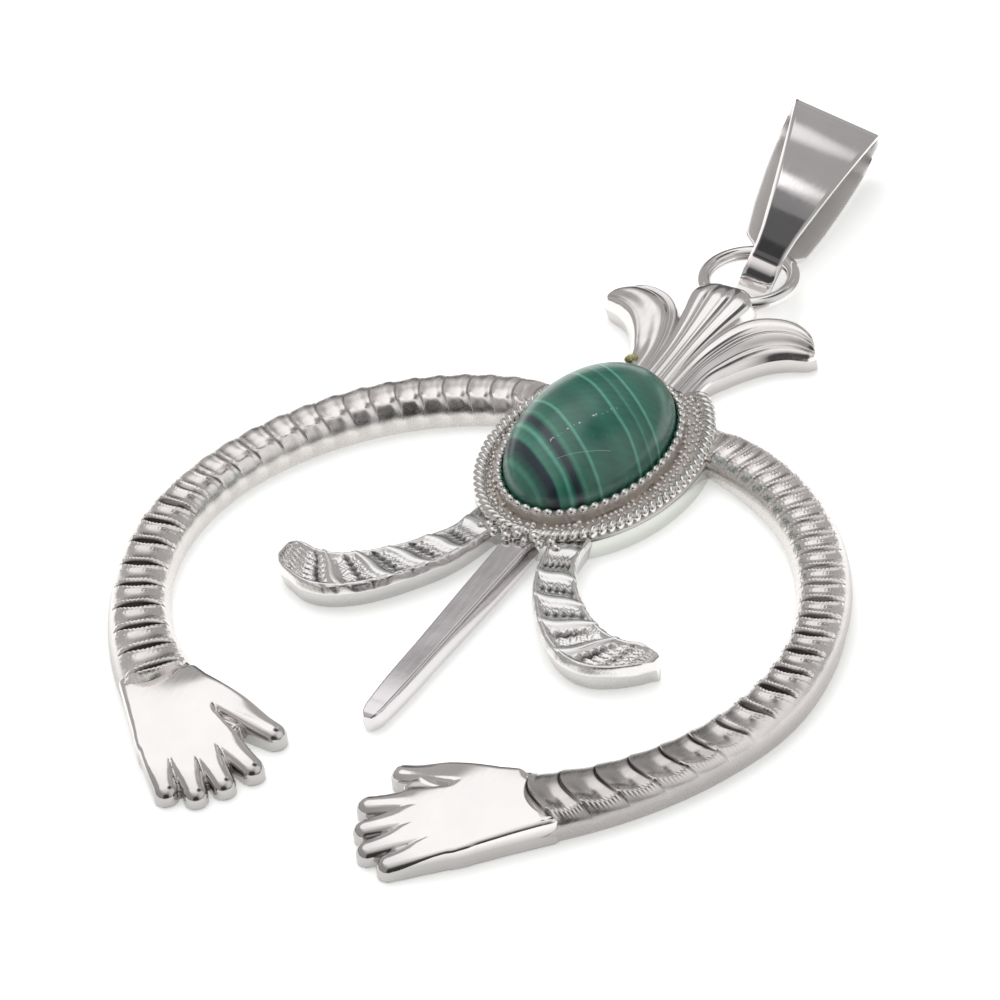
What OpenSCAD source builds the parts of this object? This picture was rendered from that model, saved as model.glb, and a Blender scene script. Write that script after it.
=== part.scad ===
// Naja pendant: a crescent of two ribbed arms that end in open hands, hung
// below an oval malachite in a rope-edged mount, with a blossom above it,
// two leaves and a long blade below it, and a folded bail on a cast ring.
// It lies on its back. The origin is on the back, under the plate's centre,
// with +Y towards the bail and +Z out of the front. Millimetres.

/* [Crescent] */
// From the crescent's centre up to the plate's centre
crescent_drop = 20; // [19:0.5:21]
// Ribs along each arm
rib_count = 24; // [16:1:26]
// Height of the arms' plain side walls
arm_side = 1.35; // [1:0.05:1.6]
// Height of the arms' crown at its fullest
arm_crown = 3.15; // [2.6:0.05:3.3]
// Depth of the groove between two ribs
groove_depth = 0.42; // [0.2:0.02:0.6]
// How far each rib bows towards the hand
rib_bow = 0.7; // [0:0.1:1]

/* [Mount] */
// Half the plate's width
plate_half_w = 8.8; // [8.6:0.1:9]
// Half the plate's height
plate_half_h = 12; // [11.5:0.1:12.5]
// Height of the plate's side wall
plate_side = 1.65; // [1.4:0.05:1.8]
// Thickness of the plate's floor
plate_floor = 2.05; // [1.9:0.05:2.2]
// Height of the rope edge
rope_top = 2.65; // [2.5:0.05:2.9]
// Width of the rope edge
rope_w = 1.05; // [0.9:0.05:1.2]
// Height of the toothed bezel
bezel_top = 3.35; // [3.2:0.05:3.5]
// Wall of the toothed bezel
bezel_wall = 0.55; // [0.4:0.05:0.7]

/* [Stone] */
// Half the cabochon's width
stone_half_w = 6; // [5.8:0.1:6.1]
// Half the cabochon's height
stone_half_h = 9; // [8.8:0.1:9.1]
// How far the stone sits below the plate's centre
stone_drop = 0.3; // [0:0.05:0.4]
// How far it sits to the left of the plate's centre
stone_aside = 0.2; // [0:0.05:0.3]
// Height of the stone's widest line
stone_girdle = 3.05; // [2.9:0.05:3.15]
// Rise of the dome over that line
stone_rise = 4.85; // [4:0.05:5]
// Gap round and under the stone
stone_gap = 0.08; // [0.05:0.01:0.15]

/* [Ring] */
// Radius of the ring at the middle of its wire
ring_r = 3.74; // [3.6:0.02:3.8]
// Radius of the ring's wire
ring_wire_r = 0.62; // [0.55:0.01:0.64]
// Height of the ring's middle
ring_z = 2.6; // [2.55:0.01:2.65]
// From the plate's centre up to the ring's centre
ring_up = 25.35; // [25.2:0.05:25.6]
// How far the ring is soldered to the right of the middle
ring_aside = 0.5; // [0:0.05:0.6]

/* [Bail] */
// Half the bail's width at the top fold
bail_half_w = 4.12; // [3.9:0.02:4.2]
// Half the bail's width where it hooks the ring
hook_half_w = 1.38; // [1.2:0.02:1.4]
// From the ring's wire up to the top fold
bail_reach = 18; // [17.5:0.05:18.5]
// From the ring's wire down to the lower bend
bail_hook = 4.5; // [4.3:0.05:4.7]
// Thickness of the strip
strip_t = 0.55; // [0.45:0.01:0.58]
// Outer radius of the top fold
fold_r = 2.5; // [2.4:0.05:2.6]
// Outer radius of the lower bend
bend_r = 2; // [1.98:0.01:2.02]

/* [Hidden] */

metal = [0.80, 0.79, 0.80];
malachite = [0.10, 0.42, 0.30];
oval_sides = 48;

// Columns: angle from the top, inner radius, outer radius, share of the crown
arm_table = [
    [12, 23.8, 28.0, 0.25],
    [16, 23.9, 28.1, 0.35],
    [20, 24.0, 28.3, 0.75],
    [25, 24.1, 28.6, 0.85],
    [40, 24.5, 29.1, 1],
    [60, 24.8, 29.3, 1],
    [80, 24.8, 29.2, 1],
    [95, 24.3, 28.9, 1],
    [110, 23.4, 28.1, 1],
    [125, 22.3, 27.5, 1],
    [138, 21.3, 27.3, 1],
    [142, 21.0, 27.3, 1]
];
arm_from = 13.8;
rib_pitch = 4.45;
rib_growth = 0.0284;
// Columns: place within one rib, from 0 to 1, and share of the groove's depth
rib_steps = [[0, -1], [0.15, 0.25], [0.5, -0.15], [0.85, 0.25]];

// Cross-profiles. Columns: place across the strip, share of the crown's rise
domed = [[0, 0], [0.06, 0.46], [0.21, 0.82], [0.5, 1], [0.79, 0.82], [0.94, 0.46], [1, 0]];
bevelled = [[0, 0], [0.22, 1], [0.78, 1], [1, 0]];
rimmed = [[0, 0], [0.06, 1], [0.16, 1], [0.24, 0.55], [0.76, 0.55], [0.84, 1], [0.94, 1], [1, 0]];
fluted = [[0, 0.2], [0.06, 0.7], [0.18, 1], [0.33, 0.62], [0.5, 1], [0.67, 0.62], [0.82, 1],
          [0.94, 0.7], [1, 0.2]];
lipped = [[0, 0], [0.12, 0.7], [0.4, 1], [0.7, 0.78], [0.82, 0.95], [0.93, 0.7], [1, 0.2]];

// Outlines about the crescent's centre, for the side of +X, walked from root
// to tip. Columns: right edge x and y, left edge x and y, side wall, crown
leaf_rows = [
    [2.2, 8.6, 5.2, 10.2, 1.35, 2.0],
    [2.9, 5.6, 5.6, 7.2, 1.35, 2.25],
    [3.7, 3.4, 7.0, 4.9, 1.35, 2.4],
    [4.9, 1.4, 8.6, 3.0, 1.35, 2.4],
    [6.5, -0.8, 10.2, 1.7, 1.35, 2.4],
    [8.3, -2.6, 11.5, 0.9, 1.35, 2.4],
    [10.4, -3.8, 12.8, 0.5, 1.35, 2.4],
    [12.4, -4.0, 14.0, 0.5, 1.35, 2.4],
    [14.4, -3.2, 15.2, 0.5, 1.35, 2.4],
    [15.9, -2.0, 16.2, 0.3, 1.35, 2.25],
    [16.7, -1.0, 16.8, -0.2, 1.3, 1.9]
];
spike_rows = [
    [-1.55, 9.0, 1.55, 9.0, 0.8, 1.9],
    [-1.5, 5.0, 1.5, 5.0, 0.8, 1.9],
    [-1.25, -5.0, 1.25, -5.0, 0.8, 1.8],
    [-1.0, -14.0, 1.0, -14.0, 0.8, 1.7],
    [-0.8, -15.2, 0.8, -15.2, 0.8, 1.6],
    [-0.35, -15.9, 0.35, -15.9, 0.7, 1.2]
];
middle_petal_rows = [
    [1.6, 29.3, -1.6, 29.3, 1.6, 2.9],
    [1.6, 34.0, -1.6, 34.0, 1.6, 2.9],
    [2.0, 37.5, -2.0, 37.5, 1.6, 3.0],
    [2.7, 40.3, -2.7, 40.3, 1.6, 3.2],
    [2.8, 41.6, -2.8, 41.6, 1.6, 3.35],
    [2.1, 42.7, -2.1, 42.7, 1.7, 3.2],
    [1.0, 43.2, -1.0, 43.2, 1.8, 2.6]
];
side_petal_rows = [
    [3.6, 29.5, 1.0, 29.5, 1.4, 2.7],
    [3.8, 32.3, 1.2, 33.4, 1.4, 2.8],
    [4.6, 34.0, 1.5, 36.2, 1.4, 2.9],
    [5.6, 35.6, 2.3, 38.8, 1.4, 2.9],
    [6.7, 36.9, 3.6, 40.4, 1.4, 2.9],
    [7.9, 37.8, 5.3, 41.2, 1.4, 2.8],
    [8.9, 38.2, 7.0, 41.2, 1.3, 2.6],
    [9.6, 38.5, 8.6, 40.3, 1.2, 2.2],
    [9.8, 38.7, 9.5, 39.4, 1.1, 1.7]
];

// Fingers about the crescent's centre. Columns: root x, y, height and radius,
// then tip x, y, height and radius
finger_table = [
    [10.4, -18.3, 2.6, 1.1, 5.55, -18.75, 1.9, 0.9],
    [9.2, -20.9, 2.6, 0.95, 4.9, -22.8, 1.8, 0.78],
    [9.2, -22.4, 2.6, 0.95, 5.95, -25.1, 1.7, 0.76],
    [10.4, -23.9, 2.5, 0.95, 7.3, -26.85, 1.65, 0.76],
    [12.3, -24.8, 2.4, 1.0, 9.5, -27.6, 1.65, 0.82]
];
// Palm. Columns: x, y, height and radius
palm_table = [
    [15.4, -16.9, 2.9, 1.2],
    [17.6, -19.2, 2.3, 1.1],
    [12.4, -24.7, 2.3, 1.1],
    [10.4, -24.0, 2.5, 1.0],
    [9.3, -21.6, 2.6, 1.1],
    [10.4, -18.5, 2.6, 1.1],
    [14.6, -19.1, 3.1, 1.5]
];

pin_y = ring_up + ring_r;
cavity_shift = 0.1;
// How the bail lies: turned left, pitched up and rolled down to its right
bail_turn = 9;
bail_pitch = 4.7;
bail_roll = 21;
arc_steps = 12;

function column(table, key, n) = lookup(key, [for (row = table) [row[0], row[n]]]);
function rib_angle(n) = arm_from + rib_pitch * n + rib_growth * n * n;

// Loop of an upright section between two edge points, up over the crown
function slab_section(row, profile) = concat(
    [[row[0], row[1], 0]],
    [for (p = profile) [
        row[0] + (row[2] - row[0]) * p[0],
        row[1] + (row[3] - row[1]) * p[0],
        row[4] + (row[5] - row[4]) * p[1]
    ]],
    [[row[2], row[3], 0]]
);

// Loop across an arm, with its middle bowed along the arm
function arm_section(angle, lift) =
    let (
        inner = column(arm_table, angle, 1),
        outer = column(arm_table, angle, 2),
        rise = column(arm_table, angle, 3) * (arm_crown - arm_side) + lift * groove_depth,
        bow = rib_bow / inner * 180 / PI
    )
    concat(
        [[inner * sin(angle), inner * cos(angle), 0]],
        [for (p = domed)
            let (
                r = inner + (outer - inner) * p[0],
                a = angle + bow * (sin(180 * p[0]) - 0.5),
                z = arm_side + rise * p[1]
            )
            [r * sin(a), r * cos(a), z]],
        [[outer * sin(angle), outer * cos(angle), 0]]
    );

function oval(half_w, half_h) = [
    for (i = [0 : oval_sides - 1])
        let (a = -360 * i / oval_sides)
        [half_w * cos(a), half_h * sin(a)]
];

// Outline of two joined circles on the Y axis, walked as a side profile
function long_loop(low, low_r, high, high_r) = concat(
    [for (i = [0 : arc_steps])
        let (a = 180 * i / arc_steps)
        [high + high_r * sin(a), high_r * cos(a)]],
    [for (i = [0 : arc_steps])
        let (a = 180 + 180 * i / arc_steps)
        [low + low_r * sin(a), low_r * cos(a)]]
);

// Solid through a row of loops that all have the same number of points
module loft(loops) {
    n = len(loops[0]);
    last = len(loops) - 1;
    sides = [
        for (i = [0 : last - 1], j = [0 : n - 1])
            let (a = i * n + j, b = i * n + (j + 1) % n)
            each [[a, b, b + n], [a, b + n, a + n]]
    ];
    start = [for (j = [0 : n - 1]) n - 1 - j];
    end = [for (j = [0 : n - 1]) last * n + j];
    polyhedron(
        points = [for (loop = loops) each loop],
        faces = concat([start], sides, [end]),
        convexity = 6
    );
}

module slab(rows, profile) {
    loft([for (row = rows) slab_section(row, profile)]);
}

module oval_block(half_w, half_h, from, to) {
    translate([0, 0, from])
        linear_extrude(height = to - from)
            polygon(oval(half_w, half_h));
}

module dome(x, y, height, r) {
    translate([x, y, height - r])
        sphere(r = r, $fn = 16);
    translate([x, y, 0])
        cylinder(r = r, h = height - r, $fn = 16);
}

module arm() {
    loft([
        for (n = [0 : rib_count - 1], s = rib_steps)
            arm_section(rib_angle(n + s[0]), s[1])
    ]);
}

module hand() {
    hull()
        for (p = palm_table)
            dome(p[0], p[1], p[2], p[3]);
    for (f = finger_table)
        hull() {
            dome(f[0], f[1], f[2], f[3]);
            dome(f[4], f[5], f[6], f[7]);
        }
}

module mount_plate() {
    bezel_in_w = stone_half_w + stone_gap;
    bezel_in_h = stone_half_h + stone_gap;
    // Columns: inset from the plate's outline, height
    edge_rows = [
        [0, 0],
        [0, plate_side],
        [0.12 * rope_w, (plate_side + rope_top) / 2],
        [0.5 * rope_w, rope_top],
        [0.88 * rope_w, (plate_floor + rope_top) / 2],
        [rope_w, plate_floor]
    ];
    loft([
        for (row = edge_rows)
            [for (p = oval(plate_half_w - row[0], plate_half_h - row[0])) [p[0], p[1], row[1]]]
    ]);
    translate([-stone_aside, -stone_drop, 0])
        difference() {
            oval_block(bezel_in_w + bezel_wall, bezel_in_h + bezel_wall, 1, bezel_top);
            oval_block(bezel_in_w, bezel_in_h, plate_floor, bezel_top + 1);
        }
}

module ring() {
    translate([ring_aside, ring_up, ring_z])
        rotate_extrude($fn = 40)
            translate([ring_r, 0])
                circle(r = ring_wire_r, $fn = 14);
}

module cast_frame() {
    color(metal) {
        mount_plate();
        ring();
        translate([0, -crescent_drop, 0]) {
            slab(spike_rows, bevelled);
            slab(middle_petal_rows, fluted);
            for (side = [0, 1])
                mirror([side, 0, 0]) {
                    arm();
                    hand();
                    slab(leaf_rows, rimmed);
                    slab(side_petal_rows, lipped);
                }
        }
    }
}

// Domed cabochon, from its flat back up to the top
module stone() {
    levels = concat(
        [[plate_floor + stone_gap, 0.96], [plate_floor + 0.35, 1], [stone_girdle, 1]],
        [for (a = [14 : 14 : 84]) [stone_girdle + stone_rise * sin(a), cos(a)]]
    );
    color(malachite)
        translate([-stone_aside, -stone_drop, 0])
            loft([
                for (level = levels)
                    [for (p = oval(stone_half_w, stone_half_h)) [p[0] * level[1], p[1] * level[1], level[0]]]
            ]);
}

// Half outline of the bail seen from the front, or from the back, where the
// leaf is wider and ends above the ring. Columns: half width, place along it
module bail_outline(rows) {
    polygon(concat(
        [for (row = rows) row],
        [for (i = [len(rows) - 1 : -1 : 0]) [-rows[i][0], rows[i][1]]]
    ));
}

module bail() {
    deep = 4;
    front_rows = [
        [hook_half_w, -bail_hook - 1],
        [hook_half_w, -1.5],
        [1.55, 0.4],
        [bail_half_w, bail_reach]
    ];
    back_rows = [
        [hook_half_w, -bail_hook - 1],
        [hook_half_w, 1.4],
        [2.2, 1.9],
        [2.75, 2.9],
        [3.3, 6.5],
        [3.75, 11],
        [bail_half_w, 16.5],
        [bail_half_w, bail_reach]
    ];
    high = bail_reach - fold_r;
    low = -bail_hook + bend_r;
    color(metal)
        translate([ring_aside, pin_y, ring_z])
            rotate([0, 0, bail_turn])
                rotate([bail_pitch, 0, 0])
                    rotate([0, bail_roll, 0])
                        translate([0, 0, cavity_shift])
                            intersection() {
                                rotate([90, 0, 90])
                                    linear_extrude(height = 4 * bail_half_w, center = true)
                                        difference() {
                                            polygon(long_loop(low, bend_r, high, fold_r));
                                            polygon(long_loop(
                                                low, bend_r - strip_t, high, fold_r - strip_t));
                                        }
                                union() {
                                    linear_extrude(height = deep)
                                        bail_outline(front_rows);
                                    translate([0, 0, -deep])
                                        linear_extrude(height = deep)
                                            bail_outline(back_rows);
                                }
                            }
}

cast_frame();
stone();
bail();
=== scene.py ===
import math
import bpy
import numpy as np
from mathutils import Matrix, Vector


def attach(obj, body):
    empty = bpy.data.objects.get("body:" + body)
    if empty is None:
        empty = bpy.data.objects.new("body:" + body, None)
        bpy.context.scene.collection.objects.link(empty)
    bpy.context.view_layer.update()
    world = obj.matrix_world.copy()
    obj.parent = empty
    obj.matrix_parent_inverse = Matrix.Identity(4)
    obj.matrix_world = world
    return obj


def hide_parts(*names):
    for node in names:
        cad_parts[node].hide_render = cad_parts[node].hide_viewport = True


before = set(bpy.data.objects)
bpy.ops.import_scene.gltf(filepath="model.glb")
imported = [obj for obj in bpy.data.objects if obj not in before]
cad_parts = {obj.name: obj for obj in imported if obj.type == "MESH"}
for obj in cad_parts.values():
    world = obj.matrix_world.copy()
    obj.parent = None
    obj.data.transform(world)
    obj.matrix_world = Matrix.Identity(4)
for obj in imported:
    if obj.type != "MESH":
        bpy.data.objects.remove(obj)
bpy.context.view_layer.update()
mm = 0.001
plateFromCrescent = 20  # mm from the crescent's centre up to the plate's centre
scene = bpy.context.scene
print("frame loaded:", ", ".join(sorted(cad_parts)))


# placing and linking nodes

def feed(node, inputs):
    # each input, by name or number, takes a value or the output that feeds it
    for key, value in inputs.items():
        if isinstance(value, bpy.types.NodeSocket):
            node.id_data.links.new(value, node.inputs[key])
        else:
            node.inputs[key].default_value = value


def placeNode(tree, kind, inputs=None, **settings):
    node = tree.nodes.new(kind)
    for key, value in settings.items():
        setattr(node, key, value)
    feed(node, inputs or {})
    return node


def doMath(tree, operation, *terms, **settings):
    node = placeNode(tree, "ShaderNodeMath", dict(enumerate(terms)), operation=operation, **settings)
    return node.outputs[0]


def doVectorMath(tree, operation, *terms):
    node = placeNode(tree, "ShaderNodeVectorMath", dict(enumerate(terms)), operation=operation)
    return node.outputs["Value" if operation == "DOT_PRODUCT" else "Vector"]


def mapValue(tree, value, fromMin=0.0, fromMax=1.0, toMin=0.0, toMax=1.0, curve="LINEAR"):
    inputs = {"Value": value, "From Min": fromMin, "From Max": fromMax, "To Min": toMin, "To Max": toMax}
    return placeNode(tree, "ShaderNodeMapRange", inputs, interpolation_type=curve).outputs["Result"]


def mixColour(tree, share, first, second, blend="MIX"):
    inputs = {"Factor": share, 6: first, 7: second}  # 6 and 7 are the node's two colours
    return placeNode(tree, "ShaderNodeMix", inputs, data_type="RGBA", blend_type=blend).outputs[2]


def noiseAt(tree, place, scale, detail, roughness=0.5, output="Fac"):
    inputs = {"Vector": place, "Scale": scale, "Detail": detail, "Roughness": roughness}
    return placeNode(tree, "ShaderNodeTexNoise", inputs).outputs[output]


def rampAt(tree, place, stops):
    node = placeNode(tree, "ShaderNodeValToRGB", {"Fac": place})
    elements = node.color_ramp.elements
    elements.remove(elements[1])
    for n, (at, colour) in enumerate(stops):
        element = elements.new(at) if n else elements[0]
        element.position = at
        element.color = (*colour, 1)
    return node.outputs["Color"]


def objectPlace(tree):
    return placeNode(tree, "ShaderNodeTexCoord").outputs["Object"]


def newGroup(name, kind, inputs, outputs):
    # inputs: each one's first value, which tells its kind of socket. Outputs: each one's kind
    group = bpy.data.node_groups.new(name, kind)
    for label, value in inputs.items():
        size = len(value) if isinstance(value, tuple) else 1
        socketKind = {3: "Vector", 4: "Color"}.get(size, "Int" if isinstance(value, int) else "Float")
        socket = group.interface.new_socket(label, in_out="INPUT", socket_type="NodeSocket" + socketKind)
        socket.default_value = value
    for label, socketKind in outputs.items():
        group.interface.new_socket(label, in_out="OUTPUT", socket_type="NodeSocket" + socketKind)
    return group, group.nodes.new("NodeGroupInput").outputs, group.nodes.new("NodeGroupOutput")


def newMaterial(name):
    material = bpy.data.materials.new(name)
    material.use_nodes = True
    return material, material.node_tree, material.node_tree.nodes["Principled BSDF"]


# finishes of the plated metal

polishLook = {
    "cloudScale": 260.0,  # soft unevenness of a casting, in waves to the metre
    "gritScale": 2600.0,
    "gritShare": 0.12,
    "hairScale": 5200.0,  # fine wear, drawn out along the pendant
    "hairStretch": (1, 0.08, 1),
    "hairTurn": (0, 0, 0.6),
    "hairShare": 0.5,
    "dimmest": 0.94,
    "bumpHeight": 0.1 * mm,
    "paintedShadeTone": (0.03, 0.025, 0.025, 1),  # colour of the painted shade in grooves and down walls
}


def makePolishGroup():
    # plated casting: soft unevenness, hairline wear and painted shade down in the grooves
    look = polishLook
    group, given, made = newGroup(
        "castPolishAndShade", "ShaderNodeTree",
        {"Metal": (0.8, 0.78, 0.78, 1), "Painted Shade": (0.1, 0.09, 0.09, 1), "Painted Shade Depth": 0.8,
         "Smoothest": 0.07, "Roughest": 0.2, "Unevenness": 0.1},
        {"Color": "Color", "Roughness": "Float", "Normal": "Vector"})
    place = objectPlace(group)
    cloud = noiseAt(group, place, look["cloudScale"], 3.0, 0.55)
    grit = noiseAt(group, place, look["gritScale"], 4.0, 0.6)
    drawn = placeNode(group, "ShaderNodeMapping", {
        "Vector": place, "Scale": look["hairStretch"], "Rotation": look["hairTurn"]})
    hair = noiseAt(group, drawn.outputs["Vector"], look["hairScale"], 2.0)
    # painted shade in grooves and down walls, a mesh attribute from 0 to 1 that darkens the colour
    groove = placeNode(group, "ShaderNodeAttribute", attribute_name="paintedShade").outputs["Fac"]
    depth = doMath(group, "MULTIPLY", groove, given["Painted Shade Depth"], use_clamp=True)
    tint = mixColour(group, depth, given["Metal"], given["Painted Shade"])
    breath = mapValue(group, cloud, 0.3, 0.7, look["dimmest"], 1.0)
    cloudShare = doMath(group, "MULTIPLY", cloud, 1 - look["hairShare"])
    wear = doMath(group, "MULTIPLY_ADD", hair, look["hairShare"], cloudShare)
    relief = doMath(group, "MULTIPLY_ADD", grit, look["gritShare"], cloud)
    bump = placeNode(group, "ShaderNodeBump", {
        "Strength": given["Unevenness"], "Distance": look["bumpHeight"], "Height": relief})
    feed(made, {
        "Color": mixColour(group, 1.0, tint, breath, "MULTIPLY"),
        "Roughness": mapValue(group, wear, 0.35, 0.65, given["Smoothest"], given["Roughest"]),
        "Normal": bump.outputs["Normal"]})
    return group


polishGroup = makePolishGroup()


def makeMetal(name, metal, depth, smoothest, roughest, uneven):
    material, tree, shader = newMaterial(name)
    polish = placeNode(tree, "ShaderNodeGroup", {
        "Metal": (*metal, 1), "Painted Shade": polishLook["paintedShadeTone"], "Painted Shade Depth": depth,
        "Smoothest": smoothest, "Roughest": roughest, "Unevenness": uneven}, node_tree=polishGroup)
    feed(shader, {
        "Metallic": 1.0, "Base Color": polish.outputs["Color"],
        "Roughness": polish.outputs["Roughness"], "Normal": polish.outputs["Normal"]})
    return material


# columns: colour, how dark the painted shade in the grooves gets, lowest and highest roughness, unevenness
metalLooks = {
    "ribbed": ((0.92, 0.875, 0.86), 1.0, 0.2, 0.34, 0.06),
    "palm": ((0.87, 0.84, 0.83), 0.75, 0.08, 0.17, 0.06),
    "leaf": ((0.86, 0.84, 0.83), 0.92, 0.16, 0.3, 0.12),
    "blade": ((0.76, 0.73, 0.74), 0.7, 0.07, 0.16, 0.06),
    "petal": ((0.87, 0.84, 0.83), 0.8, 0.1, 0.2, 0.06),
    "plateWall": ((0.7, 0.71, 0.68), 0.7, 0.12, 0.24, 0.06),
    "channel": ((0.66, 0.61, 0.57), 0.85, 0.24, 0.42, 0.5),
    "rope": ((0.86, 0.84, 0.82), 0.8, 0.12, 0.26, 0.2),
    "ring": ((0.84, 0.82, 0.81), 0.7, 0.08, 0.2, 0.08),
    "bailInside": ((0.84, 0.82, 0.81), 0.7, 0.32, 0.45, 0.05),
    "bail": ((0.86, 0.83, 0.83), 0.7, 0.03, 0.08, 0.02),
}
metals = {name: makeMetal(name + "Plating", *look) for name, look in metalLooks.items()}


# finish of the stone

deep = (0.018, 0.105, 0.075)
green = (0.027, 0.145, 0.102)
light = (0.11, 0.38, 0.28)
soft = (0.060, 0.24, 0.17)
inky = (0.010, 0.026, 0.038)
malachiteLook = {
    "bandTurn": math.radians(31),  # the bands fall this steeply to the right
    "bandReach": 16.0,  # mm of cross-band distance that the ramp covers
    "waver": 0.5,
    "wavesPerMetre": 170.0,
    "fineBands": 420.0,
    "haze": 1400.0,
    "wornAndSparkleTone": (0.62, 0.7, 0.64, 1),
    # places along the reach, and the tone there
    "bands": [
        (0.0, green), (0.012, soft), (0.03, deep), (0.06, inky), (0.088, inky), (0.1, soft),
        (0.135, green), (0.15, light), (0.164, green), (0.182, inky), (0.204, inky), (0.216, green),
        (0.228, soft), (0.243, green), (0.288, deep), (0.3, light), (0.312, green), (0.40, deep),
        (0.47, green), (0.533, deep), (0.545, light), (0.557, green), (0.615, deep), (0.626, soft),
        (0.638, green), (0.68, deep), (0.692, light), (0.704, green), (0.80, deep), (0.87, green),
        (0.98, deep)],
    # worn marks, the speckled one with white specks of painted sparkle highlight.
    # Columns: start x and y, end x and y, half width in mm, share, speckled
    "marks": [(-0.6, -5.8, 2.7, -0.2, 0.16, 1.0, 1.0), (0.8, -6.8, 3.9, -3.9, 0.045, 0.3, 0.0)],
}


def makeMarkGroup():
    # a worn line on a stone between two places: a fine scratch, or white specks of painted sparkle highlight
    group, given, made = newGroup(
        "wornMarkAndSparkle", "ShaderNodeTree",
        {"Place": (0, 0, 0), "Start": (0, 0, 0), "Along": (1, 0, 0), "Across": (0, 1, 0),
         "Length": 0.01, "Half Width": 0.0002, "Speckle": 1.0},
        {"Mark": "Float"})
    local = doVectorMath(group, "SUBTRACT", given["Place"], given["Start"])
    along, across = (doVectorMath(group, "DOT_PRODUCT", local, given[way]) for way in ("Along", "Across"))
    off = doMath(group, "ABSOLUTE", across)
    near = mapValue(group, off, 0.0, given["Half Width"], 1.0, 0.0, "SMOOTHSTEP")
    begun = doMath(group, "GREATER_THAN", along, 0.0)
    unended = doMath(group, "LESS_THAN", along, given["Length"])
    line = doMath(group, "MULTIPLY", near, doMath(group, "MULTIPLY", begun, unended))
    specks = mapValue(group, noiseAt(group, given["Place"], 4200.0, 1.0), 0.6, 0.66)
    inputs = {"Factor": given["Speckle"], 2: 1.0, 3: specks}
    chosen = placeNode(group, "ShaderNodeMix", inputs, data_type="FLOAT").outputs[0]
    feed(made, {"Mark": doMath(group, "MULTIPLY", line, chosen)})
    return group


def makeMalachite():
    look = malachiteLook
    markGroup = makeMarkGroup()
    material, tree, shader = newMaterial("bandedMalachite")
    place = objectPlace(tree)
    cloud = noiseAt(tree, place, look["wavesPerMetre"], 2.0, output="Color")
    centred = doVectorMath(tree, "SUBTRACT", cloud, (0.5, 0.5, 0.5))
    wavy = doVectorMath(tree, "MULTIPLY_ADD", centred, (look["waver"] * mm,) * 3, place)
    turn, reach = look["bandTurn"], look["bandReach"] / 2 * mm
    across = doVectorMath(tree, "DOT_PRODUCT", wavy, (math.sin(turn), math.cos(turn), 0.0))
    bands = rampAt(tree, mapValue(tree, across, -reach, reach), look["bands"])
    turned = placeNode(tree, "ShaderNodeMapping", {"Vector": wavy, "Rotation": (0, 0, 1.5 * math.pi - turn)})
    fine = placeNode(
        tree, "ShaderNodeTexWave",
        {"Vector": turned.outputs["Vector"], "Scale": look["fineBands"], "Distortion": 6.0, "Detail": 3.0},
        wave_type="BANDS", bands_direction="X")
    fineTone = mapValue(tree, fine.outputs["Fac"], toMin=0.96, toMax=1.05)
    colour = mixColour(tree, 1.0, bands, fineTone, "MULTIPLY")
    for x0, y0, x1, y1, half, share, speckled in look["marks"]:
        way = Vector((x1 - x0, y1 - y0, 0))
        mark = placeNode(tree, "ShaderNodeGroup", {
            "Place": wavy, "Start": (x0 * mm, y0 * mm, 0), "Along": way.normalized(),
            "Across": Vector((-way.y, way.x, 0)).normalized(), "Length": way.length * mm,
            "Half Width": half * mm, "Speckle": speckled}, node_tree=markGroup)
        # the worn line's pale tone, its white specks painted sparkle highlights
        wearAndSparkle = doMath(tree, "MULTIPLY", mark.outputs["Mark"], share)
        colour = mixColour(tree, wearAndSparkle, colour, look["wornAndSparkleTone"])
    haze = noiseAt(tree, place, look["haze"], 5.0)
    bump = placeNode(tree, "ShaderNodeBump", {"Strength": 0.08, "Distance": 0.05 * mm, "Height": haze})
    feed(shader, {
        "Base Color": colour, "Roughness": mapValue(tree, haze, toMin=0.16, toMax=0.32),
        "Normal": bump.outputs["Normal"], "IOR": 1.65})
    return material


def makeResidue():
    # dried polish, yellowish and dull
    material, tree, shader = newMaterial("driedPolish")
    crumbs = noiseAt(tree, objectPlace(tree), 2600.0, 4.0)
    tones = rampAt(tree, crumbs, [(0.35, (0.16, 0.14, 0.06)), (0.6, (0.52, 0.5, 0.26))])
    feed(shader, {"Base Color": tones, "Roughness": 0.7})
    return material


malachite = makeMalachite()
residue = makeResidue()
print("materials ready")


# building pieces from points

# for each CAD node, the body that its pieces ride on and the slot of their finish
nodeFacts = {
    "cast_frame": ("pendant", "polished_metal"),
    "stone": ("pendant", "malachite"),
    "bail": ("bail_body", "bail_metal"),
}


def finishPiece(name, mesh, node):
    body, slot = nodeFacts[node]
    piece = bpy.data.objects.new(name, mesh)
    scene.collection.objects.link(piece)
    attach(piece, body)
    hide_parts(node)
    return piece


def addPiece(name, points, faces, material, sharpFrom, node="cast_frame", paintedShade=0.0):
    # points in mm. The painted shade, from 0 to 1, darkens the finish where shade falls
    mesh = bpy.data.meshes.new(name)
    mesh.from_pydata((np.asarray(points) * mm).tolist(), [], faces)
    mesh.shade_smooth()
    mesh.set_sharp_from_angle(angle=math.radians(sharpFrom))
    mesh.materials.append(material)
    layer = mesh.attributes.new("paintedShade", "FLOAT", "POINT")
    layer.data.foreach_set("value", np.broadcast_to(paintedShade, len(points)).astype(np.float32))
    return finishPiece(name, mesh, node)


def loopFaces(rows, around, closed=False):
    # faces between loops of points, walked loop by loop. The two ends are capped, or joined if closed
    faces = []
    for i in range(rows if closed else rows - 1):
        a, b = i * around, (i + 1) % rows * around
        for j in range(around):
            k = (j + 1) % around
            faces.append((a + j, a + k, b + k, b + j))
    if not closed:
        faces.append(tuple(range(around - 1, -1, -1)))
        faces.append(tuple(range((rows - 1) * around, rows * around)))
    return faces


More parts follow.
